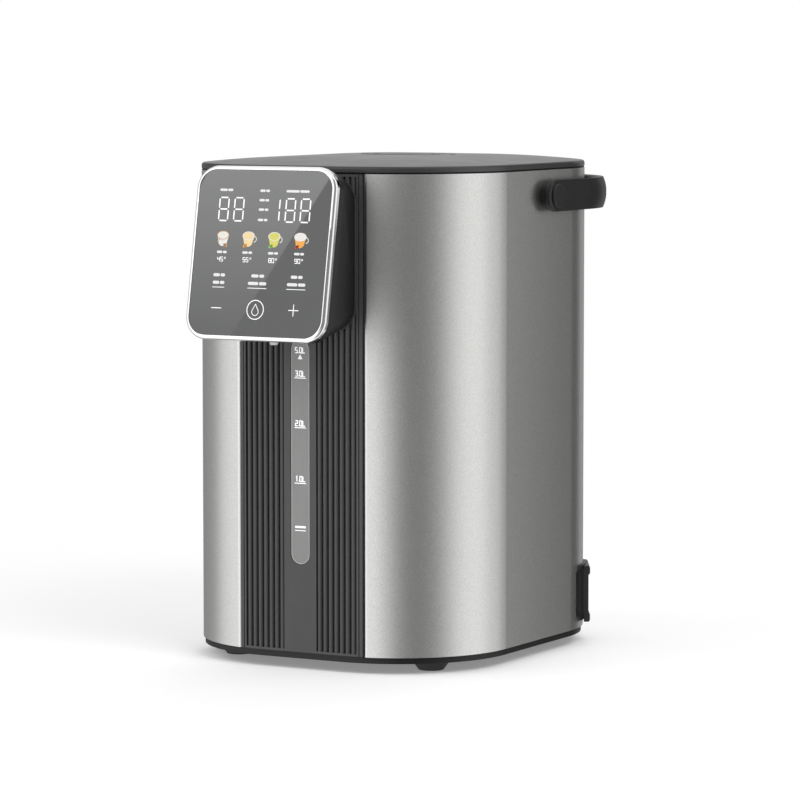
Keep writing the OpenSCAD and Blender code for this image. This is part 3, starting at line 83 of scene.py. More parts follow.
class Finish:
    """A Principled material made of small procedural layers in the model's own coordinates."""

    def __init__(self, name, colour, roughness, metallic=0.0, **sockets):
        self.material = bpy.data.materials.get(name) or bpy.data.materials.new(name)
        self.material.use_nodes = True
        self.tree = self.material.node_tree
        self.tree.nodes.clear()
        self.output = self.add("ShaderNodeOutputMaterial")
        self.surface = self.add("ShaderNodeBsdfPrincipled")
        self.link(self.surface.outputs["BSDF"], self.output.inputs["Surface"])
        self.place = self.add("ShaderNodeTexCoord").outputs["Object"]
        self.roughness = roughness
        self.colour_socket = None
        self.bump_socket = None
        self.colour = (*colour, 1.0)
        self.set("Base Color", self.colour)
        self.set("Roughness", roughness)
        self.set("Metallic", metallic)
        for socket, value in sockets.items():
            self.set(socket.replace("_", " "), value)

    def add(self, kind):
        """Makes a node."""
        return self.tree.nodes.new(kind)

    def link(self, source, target):
        self.tree.links.new(source, target)

    def set(self, socket, value):
        self.surface.inputs[socket].default_value = value

    def noise(self, size, detail=2.0, stretch=(1, 1, 1)):
        """Noise whose blobs are about size metres across, drawn out along the axes of stretch."""
        mapping = self.add("ShaderNodeMapping")
        mapping.inputs["Scale"].default_value = [1 / s for s in stretch]
        self.link(self.place, mapping.inputs["Vector"])
        noise = self.add("ShaderNodeTexNoise")
        noise.inputs["Scale"].default_value = 1 / size
        noise.inputs["Detail"].default_value = detail
        self.link(mapping.outputs["Vector"], noise.inputs["Vector"])
        return noise.outputs["Fac"]

    def spread(self, source, low, high, cut=0.25):
        """Maps a noise's usual values, from cut to 1 - cut, onto low to high."""
        ranged = self.add("ShaderNodeMapRange")
        ranged.inputs["From Min"].default_value = cut
        ranged.inputs["From Max"].default_value = 1 - cut
        ranged.inputs["To Min"].default_value = low
        ranged.inputs["To Max"].default_value = high
        self.link(source, ranged.inputs["Value"])
        return ranged.outputs["Result"]

    def tint(self, factor, other):
        """Blends the colour so far towards other by a factor socket."""
        mix = self.add("ShaderNodeMix")
        mix.data_type = "RGBA"
        self.link(factor, mix.inputs["Factor"])
        if self.colour_socket:
            self.link(self.colour_socket, mix.inputs["A"])
        else:
            mix.inputs["A"].default_value = self.colour
        mix.inputs["B"].default_value = (*other, 1.0)
        self.colour_socket = mix.outputs["Result"]
        self.link(self.colour_socket, self.surface.inputs["Base Color"])
        return self

    def mottle(self, size, amount, stretch=(1, 1, 1), detail=2.0):
        """Lightens and darkens the colour by up to amount of itself."""
        bright = tuple(min(1.0, c * (1 + amount)) for c in self.colour[:3])
        self.colour = tuple(c * (1 - amount) for c in self.colour[:3]) + (1.0,)
        return self.tint(self.spread(self.noise(size, detail, stretch), 0, 1), bright)

    def sheen_patches(self, size, amount, stretch=(1, 1, 1)):
        """Varies the roughness by plus and minus amount."""
        low, high = self.roughness - amount, self.roughness + amount
        varied = self.spread(self.noise(size, 3.0, stretch), low, high)
        self.link(varied, self.surface.inputs["Roughness"])
        return self

    def grain(self, size, depth, stretch=(1, 1, 1), detail=2.0):
        """Raises a fine noise by depth metres."""
        return self.relief(self.noise(size, detail, stretch), depth)

    def relief(self, height, depth):
        """Raises the surface by depth metres where the height socket is 1."""
        bump = self.add("ShaderNodeBump")
        bump.inputs["Distance"].default_value = depth
        self.link(height, bump.inputs["Height"])
        if self.bump_socket:
            self.link(self.bump_socket, bump.inputs["Normal"])
        self.bump_socket = bump.outputs["Normal"]
        self.link(self.bump_socket, self.surface.inputs["Normal"])
        return self


def moulded(name, colour, roughness, size=0.0006, depth=0.00001, **sockets):
    """Injection-moulded plastic: spark-eroded grain and slight cloudiness in the gloss."""
    finish = Finish(name, colour, roughness, **sockets)
    finish.mottle(0.012, 0.05)
    finish.sheen_patches(0.02, 0.03)
    return finish.grain(size, depth)


def sheet_metal(name, colour, roughness, stretch=(1, 1, 30), depth=0.000004):
    """Rolled or drawn sheet with faint draw lines along one axis."""
    finish = Finish(name, colour, roughness, metallic=1.0)
    finish.mottle(0.0005, 0.08, stretch)
    finish.sheen_patches(0.015, 0.04)
    return finish.grain(0.0004, depth, stretch)


def rubber(name, colour, roughness=0.75):
    finish = Finish(name, colour, roughness)
    finish.mottle(0.004, 0.12)
    return finish.grain(0.0008, 0.00003, detail=4.0)


def steel_body():
    """Bead-blasted satin steel: the fine sparkle is in its colour, gloss and relief alike."""
    finish = Finish("steel_body", (0.66, 0.66, 0.645), 0.34, metallic=1.0)
    finish.mottle(0.0008, 0.13, detail=3.0)
    finish.sheen_patches(0.0012, 0.06)
    return finish.grain(0.0008, 0.000018)


def display_glass():
    """Smoked glass, printed grey on its back."""
    finish = Finish("display_glass", (0.088, 0.089, 0.09), 0.015)
    return finish.mottle(0.03, 0.02)


def gauge_window():
    """Smoke-tinted window with a frosted back."""
    finish = Finish("window_clear", (0.215, 0.213, 0.21), 0.22,
                    Coat_Weight=0.6, Coat_Roughness=0.06)
    finish.mottle(0.006, 0.06, (1, 1, 3))
    return finish.grain(0.0009, 0.000015)


def needled_fibre():
    finish = Finish("insulation", (0.72, 0.7, 0.6), 0.95)
    finish.mottle(0.002, 0.2, (1, 1, 4), 5.0)
    return finish.grain(0.0012, 0.0006, (3, 3, 1), 5.0)


def circuit_board():
    """Green solder mask over copper tracks that run on a square grid."""
    finish = Finish("circuit_board", (0.015, 0.1, 0.05), 0.32)
    tracks = finish.add("ShaderNodeTexBrick")
    tracks.inputs["Scale"].default_value = 260.0
    tracks.inputs["Mortar Size"].default_value = 0.05
    finish.link(finish.place, tracks.inputs["Vector"])
    finish.tint(tracks.outputs["Fac"], (0.03, 0.22, 0.1))
    return finish.relief(tracks.outputs["Fac"], 0.00003)


def wound_copper():
    """Enamelled wire laid in turns round the rotor."""
    finish = Finish("rotor_copper", (0.55, 0.24, 0.1), 0.35, metallic=1.0)
    turns = finish.add("ShaderNodeTexWave")
    turns.bands_direction = "Z"
    turns.inputs["Scale"].default_value = 600.0
    finish.link(finish.place, turns.inputs["Vector"])
    finish.tint(turns.outputs["Fac"], (0.3, 0.11, 0.04))
    return finish.relief(turns.outputs["Fac"], 0.0002)


def clear_glass():
    finish = Finish("tube_glass", (0.95, 0.97, 0.97), 0.03, Transmission_Weight=0.9)
    return finish.grain(0.01, 0.000005)


def soft_silicone():
    finish = Finish("silicone", (0.72, 0.71, 0.67), 0.45,
                    Subsurface_Weight=0.3, Subsurface_Scale=0.003)
    finish.mottle(0.008, 0.06)
    return finish.grain(0.0012, 0.00002)


def make_finishes():
    steel_body()
    display_glass()
    gauge_window()
    needled_fibre()
    circuit_board()
    wound_copper()
    clear_glass()
    soft_silicone()
    moulded("base_plastic", (0.01, 0.01, 0.0105), 0.42, Specular_IOR_Level=0.3)
    moulded("panel_plastic", (0.05, 0.05, 0.051), 0.42)
    moulded("head_plastic", (0.01, 0.01, 0.0105), 0.36, Specular_IOR_Level=0.22)
    moulded("collar_plastic", (0.005, 0.005, 0.0055), 0.5, Specular_IOR_Level=0.12)
    moulded("lid_plastic", (0.032, 0.032, 0.033), 0.33)
    moulded("lid_inner_plastic", (0.06, 0.06, 0.061), 0.45)
    moulded("lever_plastic", (0.03, 0.03, 0.031), 0.25)
    moulded("handle_plastic", (0.012, 0.012, 0.0125), 0.4, Specular_IOR_Level=0.35)
    moulded("nozzle_plastic", (0.62, 0.62, 0.62), 0.35)
    moulded("valve_plastic", (0.7, 0.66, 0.54), 0.5)
    moulded("reflector_plastic", (0.82, 0.82, 0.78), 0.5)
    moulded("bakelite", (0.03, 0.025, 0.022), 0.4)
    moulded("fuse_ceramic", (0.75, 0.72, 0.66), 0.8, 0.0005, 0.00004)
    moulded("pump_plastic", (0.72, 0.72, 0.68), 0.42)
    moulded("impeller_plastic", (0.03, 0.1, 0.32), 0.4)
    moulded("socket_plastic", (0.018, 0.018, 0.019), 0.45)
    rubber("foot_rubber", (0.012, 0.012, 0.012))
    sheet_metal("bezel_chrome", (0.9, 0.9, 0.905), 0.07, (1, 1, 1), 0.0000005)
    sheet_metal("plate_steel", (0.68, 0.68, 0.67), 0.22, (30, 1, 1))
    sheet_metal("tank_steel", (0.64, 0.64, 0.63), 0.3, (12, 12, 1), 0.000001)
    sheet_metal("stamped_steel", (0.55, 0.56, 0.56), 0.38, (1, 1, 1), 0.00001)
    sheet_metal("motor_steel", (0.5, 0.5, 0.52), 0.35, (1, 1, 12))
    sheet_metal("pin_steel", (0.62, 0.62, 0.63), 0.2, (1, 8, 8))
    sheet_metal("screw_steel", (0.5, 0.5, 0.5), 0.3, (1, 1, 1))
    sheet_metal("spring_steel", (0.6, 0.58, 0.5), 0.25, (1, 1, 1))
    sheet_metal("mica_band", (0.5, 0.44, 0.3), 0.55, (8, 8, 1), 0.00002)
    sheet_metal("cast_aluminium", (0.6, 0.61, 0.62), 0.5, (1, 1, 1), 0.00005)
    sheet_metal("element_sheath", (0.2, 0.19, 0.18), 0.45, (1, 1, 1), 0.00001)
    sheet_metal("sensor_brass", (0.72, 0.52, 0.22), 0.3, (1, 1, 1))
    sheet_metal("contact_brass", (0.86, 0.66, 0.3), 0.2, (1, 1, 1))


# ---- Prints on the glass and the gauge --------------------------------------------------------

# How far a print's back lies in the glass, and how much higher each further layer lies
PRINT_SINK = 0.02 * MM
PRINT_STEP = 0.03 * MM
# A node's front is made of the faces whose normals have less than this along Y
FRONT_FACING = -0.8
# The least cosine that a stroke's corner is mitred by, so that a sharp one doesn't run out
LEAST_MITRE = 0.4
MERGE_DISTANCE = 1e-7


def ink(name, colour, glow=0.0):
    """Printed or back-lit mark; a glow on a plain printed mark is painted glow."""
    finish = Finish(name, colour, 0.4)
    finish.mottle(0.001, 0.03)
    if glow:
        finish.set("Emission Color", (*colour, 1.0))
        finish.set("Emission Strength", glow)
    return finish.material


def front_face(node):
    """Middle and outward normal of the side of a node that faces the front."""
    mesh = NODES[node].data
    seen = [p for p in mesh.polygons if p.normal.y < FRONT_FACING]
    normal = sum((p.normal * p.area for p in seen), Vector()).normalized()
    outmost = max(p.center.dot(normal) for p in seen)
    low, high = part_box(node)
    middle = (low + high) / 2
    return middle + normal * (outmost - middle.dot(normal)), normal


class Sheet:
    """Thin closed prints on a plane, in millimetres from its middle: x to the right, z up."""

    def __init__(self, node):
        self.middle, self.normal = front_face(node)
        self.up = (Vector((0, 0, 1)) - self.normal * self.normal.z).normalized()
        self.right = self.up.cross(self.normal)
        self.mesh = bmesh.new()
        self.inks = []

    def point(self, x, z, rise):
        """The place of x, z on the sheet, rise metres off it."""
        return self.middle + self.right * (x * MM) + self.up * (z * MM) + self.normal * rise

    def fill(self, outline, material, layer=1):
        """Raises a closed outline of (x, z) points into a thin slab; later layers lie higher."""
        if material not in self.inks:
            self.inks.append(material)
        rise = PRINT_STEP * layer
        back = [self.mesh.verts.new(self.point(x, z, -PRINT_SINK)) for x, z in outline]
        front = [self.mesh.verts.new(self.point(x, z, rise)) for x, z in outline]
        count = len(outline)
        faces = [self.mesh.faces.new(front), self.mesh.faces.new(back[::-1])]
        for i in range(count):
            j = (i + 1) % count
            faces.append(self.mesh.faces.new((back[i], back[j], front[j], front[i])))
        for face in faces:
            face.material_index = self.inks.index(material)

    def line(self, points, width, material, closed=False, layer=1):
        """A stroke of even width along a path of (x, z) points, with mitred corners."""
        points = [Vector(p) for p in points]
        count = len(points)
        sides = []
        for i, here in enumerate(points):
            before = points[i - 1] if closed or i else here * 2 - points[1]
            goes_on = closed or i < count - 1
            after = points[(i + 1) % count] if goes_on else here * 2 - points[i - 1]
            run_in = (here - before).normalized()
            run_out = (after - here).normalized()
            across = Vector((-run_in.y - run_out.y, run_in.x + run_out.x)).normalized()
            reach = width / 2 / max(LEAST_MITRE, across.dot(Vector((-run_in.y, run_in.x))))
            sides.append((here + across * reach, here - across * reach))
        for i in range(count if closed else count - 1):
            (left, right), (next_left, next_right) = sides[i], sides[(i + 1) % count]
            self.fill((left, right, next_right, next_left), material, layer)

    def build(self, name, body):
        """Turns the prints into one piece that rides on a body."""
        bmesh.ops.remove_doubles(self.mesh, verts=self.mesh.verts, dist=MERGE_DISTANCE)
        bmesh.ops.recalc_face_normals(self.mesh, faces=self.mesh.faces)
        data = bpy.data.meshes.new(name)
        self.mesh.to_mesh(data)
        self.mesh.free()
        for material in self.inks:
            data.materials.append(material)
        piece = bpy.data.objects.new(name, data)
        bpy.context.scene.collection.objects.link(piece)
        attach(piece, body)


def arc(x, z, radius, start=0, end=360, squash=1.0, steps=28):
    """Points of an arc in degrees, the full circle without its repeated last point."""
    last = steps if end - start < 360 else steps - 1
    turns = [math.radians(start + (end - start) * i / steps) for i in range(last + 1)]
    return [(x + radius * math.cos(t), z + radius * squash * math.sin(t)) for t in turns]


def pill(x, z, width, height):
    """Rounded bar with its middle at x, z."""
    half, r = width / 2 - height / 2, height / 2
    return arc(x + half, z, r, -90, 90, steps=8) + arc(x - half, z, r, 90, 270, steps=8)


# Strokes of the plain numerals, on a box one wide and two high
NUMERALS = {
    "0": [[(0, 0), (1, 0), (1, 2), (0, 2), (0, 0)]],
    "1": [[(0.2, 1.6), (0.6, 2), (0.6, 0)]],
    "2": [[(0, 2), (1, 2), (1, 1), (0, 1), (0, 0), (1, 0)]],
    "3": [[(0, 2), (1, 2), (1, 0), (0, 0)], [(0.2, 1), (1, 1)]],
    "4": [[(0, 2), (0, 1), (1, 1)], [(1, 2), (1, 0)]],
    "5": [[(1, 2), (0, 2), (0, 1), (1, 1), (1, 0), (0, 0)]],
    "8": [[(0, 0), (1, 0), (1, 2), (0, 2), (0, 0)], [(0, 1), (1, 1)]],
    "9": [[(1, 1), (0, 1), (0, 2), (1, 2), (1, 0), (0, 0)]],
    ".": [[(0.1, 0), (0.1, 0.3)]],
    "L": [[(0, 2), (0, 0), (1, 0)]],
}


# Width, height and stroke of the small numerals on the glass and of those on the gauge
HEAT_NUMERAL_MM = (1.5, 2.6, 0.42)
GAUGE_NUMERAL_MM = (1.55, 3.2, 0.66)
NUMERAL_PITCH = 1.45
POINT_PLACE = 0.35


def number(sheet, text, x, z, size, material):
    """Plain numerals centred on x with their feet at z; a point takes a third of a place."""
    width, height, stroke = size
    places = [POINT_PLACE if c == "." else 1 for c in text]
    pitch = width * NUMERAL_PITCH
    left = x - (sum(places) * pitch - (pitch - width)) / 2
    for character, place in zip(text, places):
        for path in NUMERALS[character]:
            points = [(left + px * width, z + pz * height / 2) for px, pz in path]
            sheet.line(points, stroke, material)
        left += place * pitch


# Segments of a lit digit, by their end points on a box one wide and two high
SEGMENTS = [((0, 2), (1, 2)), ((0, 1), (1, 1)), ((0, 0), (1, 0)),
            ((0, 1), (0, 2)), ((1, 1), (1, 2)), ((0, 0), (0, 1)), ((1, 0), (1, 1))]
DIGIT_WIDTH_MM, DIGIT_HEIGHT_MM = 6.4, 14.2
DIGIT_STROKE_MM, DIGIT_GAP_MM = 0.85, 0.55
DIGIT_FOOT_MM = 19.4
LEFT_DIGITS_MM = (-28.4, -17.7)
RIGHT_DIGITS_MM = (18.7, 29.2)
HUNDREDS_MM = 11.0


def digit(sheet, x, material, segments=SEGMENTS):
    """Seven pointed bars, or some of them."""
    for ends in segments:
        a, b = (Vector((x + (u - 0.5) * DIGIT_WIDTH_MM, DIGIT_FOOT_MM + v * DIGIT_HEIGHT_MM / 2))
                for u, v in ends)
        along = (b - a).normalized()
        across = Vector((-along.y, along.x)) * DIGIT_STROKE_MM / 2
        a, b = a + along * DIGIT_GAP_MM, b - along * DIGIT_GAP_MM
        tip = along * DIGIT_STROKE_MM / 2
        outline = (a, a + tip - across, b - tip - across, b, b - tip + across, a + tip + across)
        sheet.fill(outline, material)


# Heights of the bars that stand for small words and for the keys' words
WORD_MM, KEY_WORD_MM = 1.5, 1.9
# The first bar's share of a label's width, and the gap between the bars as a share of their height
FIRST_BAR = 0.58
BAR_GAP = 0.45


def label(sheet, x, z, width, height, material):
    """A worded label's place: two plain rounded bars."""
    gap = height * BAR_GAP
    split = width * FIRST_BAR
    sheet.fill(pill(x - (width - split) / 2, z, split - gap / 2, height), material)
    sheet.fill(pill(x + split / 2, z, width - split - gap / 2, height), material)


# A cup's parts, measured from its middle: the ear, the sides, the bowl's round foot, the rim,
# the drink inside it, and the berries beside the foot
EAR_OUT_MM, EAR_DROP_MM, EAR_RADIUS_MM, EAR_STROKE_MM = 4.0, 0.6, 1.7, 0.5
SIDE_OUT_MM, SIDE_TOP_MM = 4.2, 1.2
BOWL_DROP_MM, BOWL_RADIUS_MM = 2.2, 3.1
RIM_RISE_MM, RIM_RADIUS_MM, RIM_SQUASH = 1.4, 4.3, 0.62
DRINK_RADIUS_MM, DRINK_SQUASH = 3.7, 0.6
BERRY_OUT_MM, BERRY_DROP_MM, BERRY_RADIUS_MM = 2.6, 3.9, 0.9
BERRY_RING_MM = (1.3, 1.1)
BERRY_TURNS = (200, 235, 270)


def cup(sheet, x, z, vessel, drink, accent, rim, side):
    """A plain cup seen from above its rim, with its ear at the right for side 1, left for -1."""
    ear_x, ear_z = x + side * EAR_OUT_MM, z - EAR_DROP_MM
    ear = arc(ear_x, ear_z, EAR_RADIUS_MM, -90 * side, 90 * side, steps=10)
    sheet.line(ear, EAR_STROKE_MM, rim)
    foot = arc(x, z - BOWL_DROP_MM, BOWL_RADIUS_MM, 180, 360, steps=12)
    left, right = (x - SIDE_OUT_MM, z + SIDE_TOP_MM), (x + SIDE_OUT_MM, z + SIDE_TOP_MM)
    sheet.fill([left] + foot + [right], vessel)
    sheet.fill(arc(x, z + RIM_RISE_MM, RIM_RADIUS_MM, squash=RIM_SQUASH), rim, 2)
    sheet.fill(arc(x, z + RIM_RISE_MM, DRINK_RADIUS_MM, squash=DRINK_SQUASH), drink, 3)
    for turn in BERRY_TURNS:
        t = math.radians(turn)
        berry_x = x - side * (BERRY_OUT_MM + BERRY_RING_MM[0] * math.cos(t))
        berry_z = z - BERRY_DROP_MM + BERRY_RING_MM[1] * math.sin(t)
        sheet.fill(arc(berry_x, berry_z, BERRY_RADIUS_MM, steps=12), accent, 4)


# Small worded labels over and between the digits: middle x, middle z and width
LABELS_MM = ((-27.5, 38.3, 9.6), (23.0, 38.2, 16.6),
             (-0.2, 38.2, 7.2), (-0.2, 32.4, 7.2), (-0.2, 26.6, 7.2), (-0.2, 20.3, 7.2))
# The row of cups, and under each its word and its heat with a degree mark
CUP_ROW_MM = 9.0
CUP_AT_MM = (-27.2, -9.1, 9.1, 27.4)
CUP_HEATS = ("45", "55", "80", "90")
CUP_WORD_ROW_MM, CUP_WORD_WIDTH_MM = 0.1, 7.4
HEAT_ROW_MM, HEAT_LEFT_MM = -5.6, 0.8
DEGREE_OUT_MM, DEGREE_ROW_MM, DEGREE_RADIUS_MM, DEGREE_STROKE_MM = 2.5, -3.5, 0.5, 0.3
# The keys' worded labels: middle x, and the widths of the upper bars, the lower bars and the rule
KEY_LABELS_MM = ((-27.6, 8.8, 8.8, 8.6), (-0.2, 9.6, 13.4, 13.4), (27.2, 8.8, 13.4, 13.4))
KEY_UPPER_ROW_MM, KEY_LOWER_ROW_MM, KEY_RULE_ROW_MM = -14.0, -18.6, -21.5
KEY_RULE_MM = 0.4
# The minus, drop and plus keys
KEY_ROW_MM = -34.2
KEY_AT_MM = (-27.7, 0.0, 26.8)
KEY_WIDTH_MM = 7.2
KEY_STROKE_MM = 0.55
# Where the plus's upright bars begin, as a share of the stroke from the flat bar's middle
PLUS_ROOT = 0.6
# The ring round the drop, and the drop's round belly and its tip
RING_FALL_MM, RING_RADIUS_MM = 0.4, 5.8
DROP_FALL_MM, DROP_RADIUS_MM, DROP_TURNS = 1.6, 2.3, (-220, 40)
DROP_TIP_MM, DROP_STROKE_MM = 3.0, 0.42


def display_prints():
    """Everything that shows through the display glass."""
    lit = ink("lit_white", (0.9, 0.9, 0.9), 0.25)
    worded = ink("lit_label", (0.7, 0.7, 0.7), 0.15)
    cream = ink("ink_cream", (0.86, 0.66, 0.36))
    milk = ink("ink_milk", (0.8, 0.78, 0.74))
    tan = ink("ink_tan", (0.62, 0.34, 0.16))
    tea = ink("ink_tea", (0.66, 0.62, 0.12))
    leaf = ink("ink_leaf", (0.3, 0.6, 0.12))
    orange = ink("ink_orange", (0.85, 0.38, 0.06))
    berry = ink("ink_berry", (0.5, 0.06, 0.03))

    digits = Sheet("display_glass")
    for x in (*LEFT_DIGITS_MM, *RIGHT_DIGITS_MM):
        digit(digits, x, lit)
    right_bars = [s for s in SEGMENTS if s[0][0] == s[1][0] == 1]
    digit(digits, HUNDREDS_MM - DIGIT_WIDTH_MM / 2, lit, right_bars)
    digits.build("display_digits", "casing")

    labels = Sheet("display_glass")
    for x, z, width in LABELS_MM:
        label(labels, x, z, width, WORD_MM, worded)
    for x, heat in zip(CUP_AT_MM, CUP_HEATS):
        label(labels, x, CUP_WORD_ROW_MM, CUP_WORD_WIDTH_MM, WORD_MM, worded)
        number(labels, heat, x - HEAT_LEFT_MM, HEAT_ROW_MM, HEAT_NUMERAL_MM, lit)
        ring = arc(x + DEGREE_OUT_MM, DEGREE_ROW_MM, DEGREE_RADIUS_MM, steps=12)
        labels.line(ring, DEGREE_STROKE_MM, lit, closed=True)
    for x, upper, lower, rule in KEY_LABELS_MM:
        label(labels, x, KEY_UPPER_ROW_MM, upper, KEY_WORD_MM, worded)
        label(labels, x, KEY_LOWER_ROW_MM, lower, KEY_WORD_MM, worded)
        labels.fill(pill(x, KEY_RULE_ROW_MM, rule, KEY_RULE_MM), lit)
    labels.build("display_labels", "casing")

    keys = Sheet("display_glass")
    minus, drop, plus = KEY_AT_MM
    keys.fill(pill(minus, KEY_ROW_MM, KEY_WIDTH_MM, KEY_STROKE_MM), lit)
    keys.fill(pill(plus, KEY_ROW_MM, KEY_WIDTH_MM, KEY_STROKE_MM), lit)
    for side in (-1, 1):
        tip = (plus, KEY_ROW_MM + side * KEY_WIDTH_MM / 2)
        root = (plus, KEY_ROW_MM + side * KEY_STROKE_MM * PLUS_ROOT)
        keys.line([tip, root], KEY_STROKE_MM, lit)
    ring = arc(drop, KEY_ROW_MM - RING_FALL_MM, RING_RADIUS_MM, steps=48)
    keys.line(ring, KEY_STROKE_MM, lit, closed=True)
    belly = arc(drop, KEY_ROW_MM - DROP_FALL_MM, DROP_RADIUS_MM, *DROP_TURNS, steps=18)
    keys.line(belly + [(drop, KEY_ROW_MM + DROP_TIP_MM)], DROP_STROKE_MM, lit, closed=True)
    keys.build("display_keys", "casing")

    cups = Sheet("display_glass")
    # Each cup's vessel, drink, berries and rim, and the side of its ear
    looks = ((milk, milk, tan, tan, -1), (cream, cream, orange, milk, 1),
             (tea, tea, leaf, milk, 1), (orange, milk, berry, milk, 1))
    for x, look in zip(CUP_AT_MM, looks):
        cup(cups, x, CUP_ROW_MM, *look)
    cups.build("drink_marks", "casing")


# Heights above the standing plane of the gauge's numbered lines
GAUGE_LINES_MM = (("3.0L", 182.1), ("2.0L", 151.2), ("1.0L", 116.6))
GAUGE_FULL_MM = 197.7
GAUGE_LOW_MM = 87.1
# Width and thickness of a numbered line, of the lowest line and of the bar over it
LEVEL_LINE_MM = (8.4, 0.55)
LOW_LINE_MM = (7.9, 0.5)
LOW_BAR_MM = (7.9, 1.3)
LOW_BAR_RISE_MM = 2.2
NUMERAL_RISE_MM = 1.1
# The arrow under the full mark: its gap, half its width and its height
ARROW_GAP_MM, ARROW_HALF_MM, ARROW_HEIGHT_MM = 0.9, 1.7, 3.0
# Painted highlight round the window: half its width, half its straight length, and its line's
# width
EDGE_HALF_MM = 6.2
EDGE_STRAIGHT_MM = 63.4
EDGE_STROKE_MM = 0.4


def gauge_prints():
    """The scale on the gauge window, and a painted highlight along the window's edge."""
    # The scale's glow is painted glow: these are printed marks that nothing lights from behind
    white = ink("painted_glow_ink_white", (0.9, 0.9, 0.9), 0.35)
    # A light grey line round the window, a painted highlight where its rounded edge catches light
    edge = Finish("painted_edge_highlight", (0.5, 0.5, 0.5), 0.12).mottle(0.01, 0.04).material
    marks = Sheet("gauge_window")
    middle = marks.middle.z / MM
    rim = (arc(0, EDGE_STRAIGHT_MM, EDGE_HALF_MM, 0, 180, steps=20)
           + arc(0, -EDGE_STRAIGHT_MM, EDGE_HALF_MM, 180, 360, steps=20))
    marks.line(rim, EDGE_STROKE_MM, edge, closed=True)
    for text, height in GAUGE_LINES_MM:
        marks.fill(pill(0, height - middle, *LEVEL_LINE_MM), white)
        number(marks, text, 0, height + NUMERAL_RISE_MM - middle, GAUGE_NUMERAL_MM, white)
    number(marks, "5.0L", 0, GAUGE_FULL_MM - middle, GAUGE_NUMERAL_MM, white)
    tip = GAUGE_FULL_MM - ARROW_GAP_MM - middle
    foot = tip - ARROW_HEIGHT_MM
    marks.fill([(-ARROW_HALF_MM, foot), (ARROW_HALF_MM, foot), (0, tip)], white)
    marks.fill(pill(0, GAUGE_LOW_MM - middle, *LOW_LINE_MM), white)
    marks.fill(pill(0, GAUGE_LOW_MM + LOW_BAR_RISE_MM - middle, *LOW_BAR_MM), white)
    marks.build("gauge_marks", "casing")


# ---- Studio ---------------------------------------------------------------------------------

WORLD_LIGHT = 0.55
FLOOR_SIZE = 24.0
FLOOR_GLOW = 0.22
# Distances from the origin between which the floor's shading fades to plain white
SHADOW_NEAR, SHADOW_FAR = 0.2, 0.8
# A round wall about the object that only reflections see. Its light and dark bands model the
# steel: each stop is a bearing in degrees right of the front and the light level there
WALL_RADIUS = 0.6
WALL_LOW, WALL_HIGH = -1.0, 0.9
WALL_STEPS = 240
WALL_STOPS = (
    (-180, 0.25), (-168, 0.82), (-136, 0.82), (-122, 0.2), (-110, 0.3), (-84, 0.35), (-72, 0.95),
    (-52, 1.05), (-38, 1.35), (0, 1.35), (12, 1.05), (24, 0.5), (34, 0.2), (50, 0.22), (62, 0.35),
    (72, 0.7), (84, 1.1), (106, 1.2), (118, 0.65), (130, 1.02), (138, 0.22), (148, 0.0),
    (160, 0.0), (168, 0.65), (174, 0.5), (180, 0.25))
# A low dark card off the head's right side: the steel beside the head shows it as the head's shade
SHADE_CENTRE = (0.055, -0.096)
SHADE_RADIUS = 0.15
SHADE_START, SHADE_END = -8, 36
SHADE_LOW, SHADE_HIGH = 0.206, 0.306
SHADE_STEPS = 12
SHADE_LEVEL = 0.24
# A card that the display glass mirrors: its light level at the top and at the bottom, its distance
# behind the glass, and its edges as they lie on the glass, top first, in millimetres
GLEAM_LEVEL, GLEAM_END = 4.4, 1.3
GLEAM_REACH = 0.38
GLEAM_STEPS = 10
GLEAM_RIGHT_MM = ((53.0, 61.0), (-26.0, -67.6))
GLEAM_LEFT_MM = ((-36.0, 61.0), (-102.0, -67.6))
# Each lamp's name, bearing and height in degrees, distance, side and power in watts
LAMPS = (
    ("key", 62, 42, 1.8, 0.9, 13),
    ("fill", -50, 35, 2.0, 1.2, 8),
    ("rear", 190, 45, 2.0, 1.2, 8))


def light_path(tree):
    """A factor of 1 for the rays that show the backdrop: camera, glossy and transmission."""
    path = tree.nodes.new("ShaderNodeLightPath")
    factor = path.outputs["Is Camera Ray"]
    for ray in ("Is Glossy Ray", "Is Transmission Ray"):
        highest = tree.nodes.new("ShaderNodeMath")
        highest.operation = "MAXIMUM"
        tree.links.new(factor, highest.inputs[0])
        tree.links.new(path.outputs[ray], highest.inputs[1])
        factor = highest.outputs[0]
    return factor


def make_world():
    """Soft even light, which the camera and reflections see as plain white."""
    world = bpy.data.worlds.new("studio")
    bpy.context.scene.world = world
    world.use_nodes = True
    tree = world.node_tree
    tree.nodes.clear()
    output = tree.nodes.new("ShaderNodeOutputWorld")
    mix = tree.nodes.new("ShaderNodeMixShader")
    light = tree.nodes.new("ShaderNodeBackground")
    light.inputs["Strength"].default_value = WORLD_LIGHT
    white = tree.nodes.new("ShaderNodeBackground")
    for background in (light, white):
        background.inputs["Color"].default_value = (1, 1, 1, 1)
    tree.links.new(light_path(tree), mix.inputs["Fac"])
    tree.links.new(light.outputs["Background"], mix.inputs[1])
    tree.links.new(white.outputs["Background"], mix.inputs[2])
    tree.links.new(mix.outputs["Shader"], output.inputs["Surface"])


def staged(name, vertices, faces, material):
    """Makes a floor or card, which isn't part of the object."""
    data = bpy.data.meshes.new(name)
    data.from_pydata(vertices, [], faces)
    data.materials.append(material)
    thing = bpy.data.objects.new(name, data)
    bpy.context.scene.collection.objects.link(thing)
    return thing


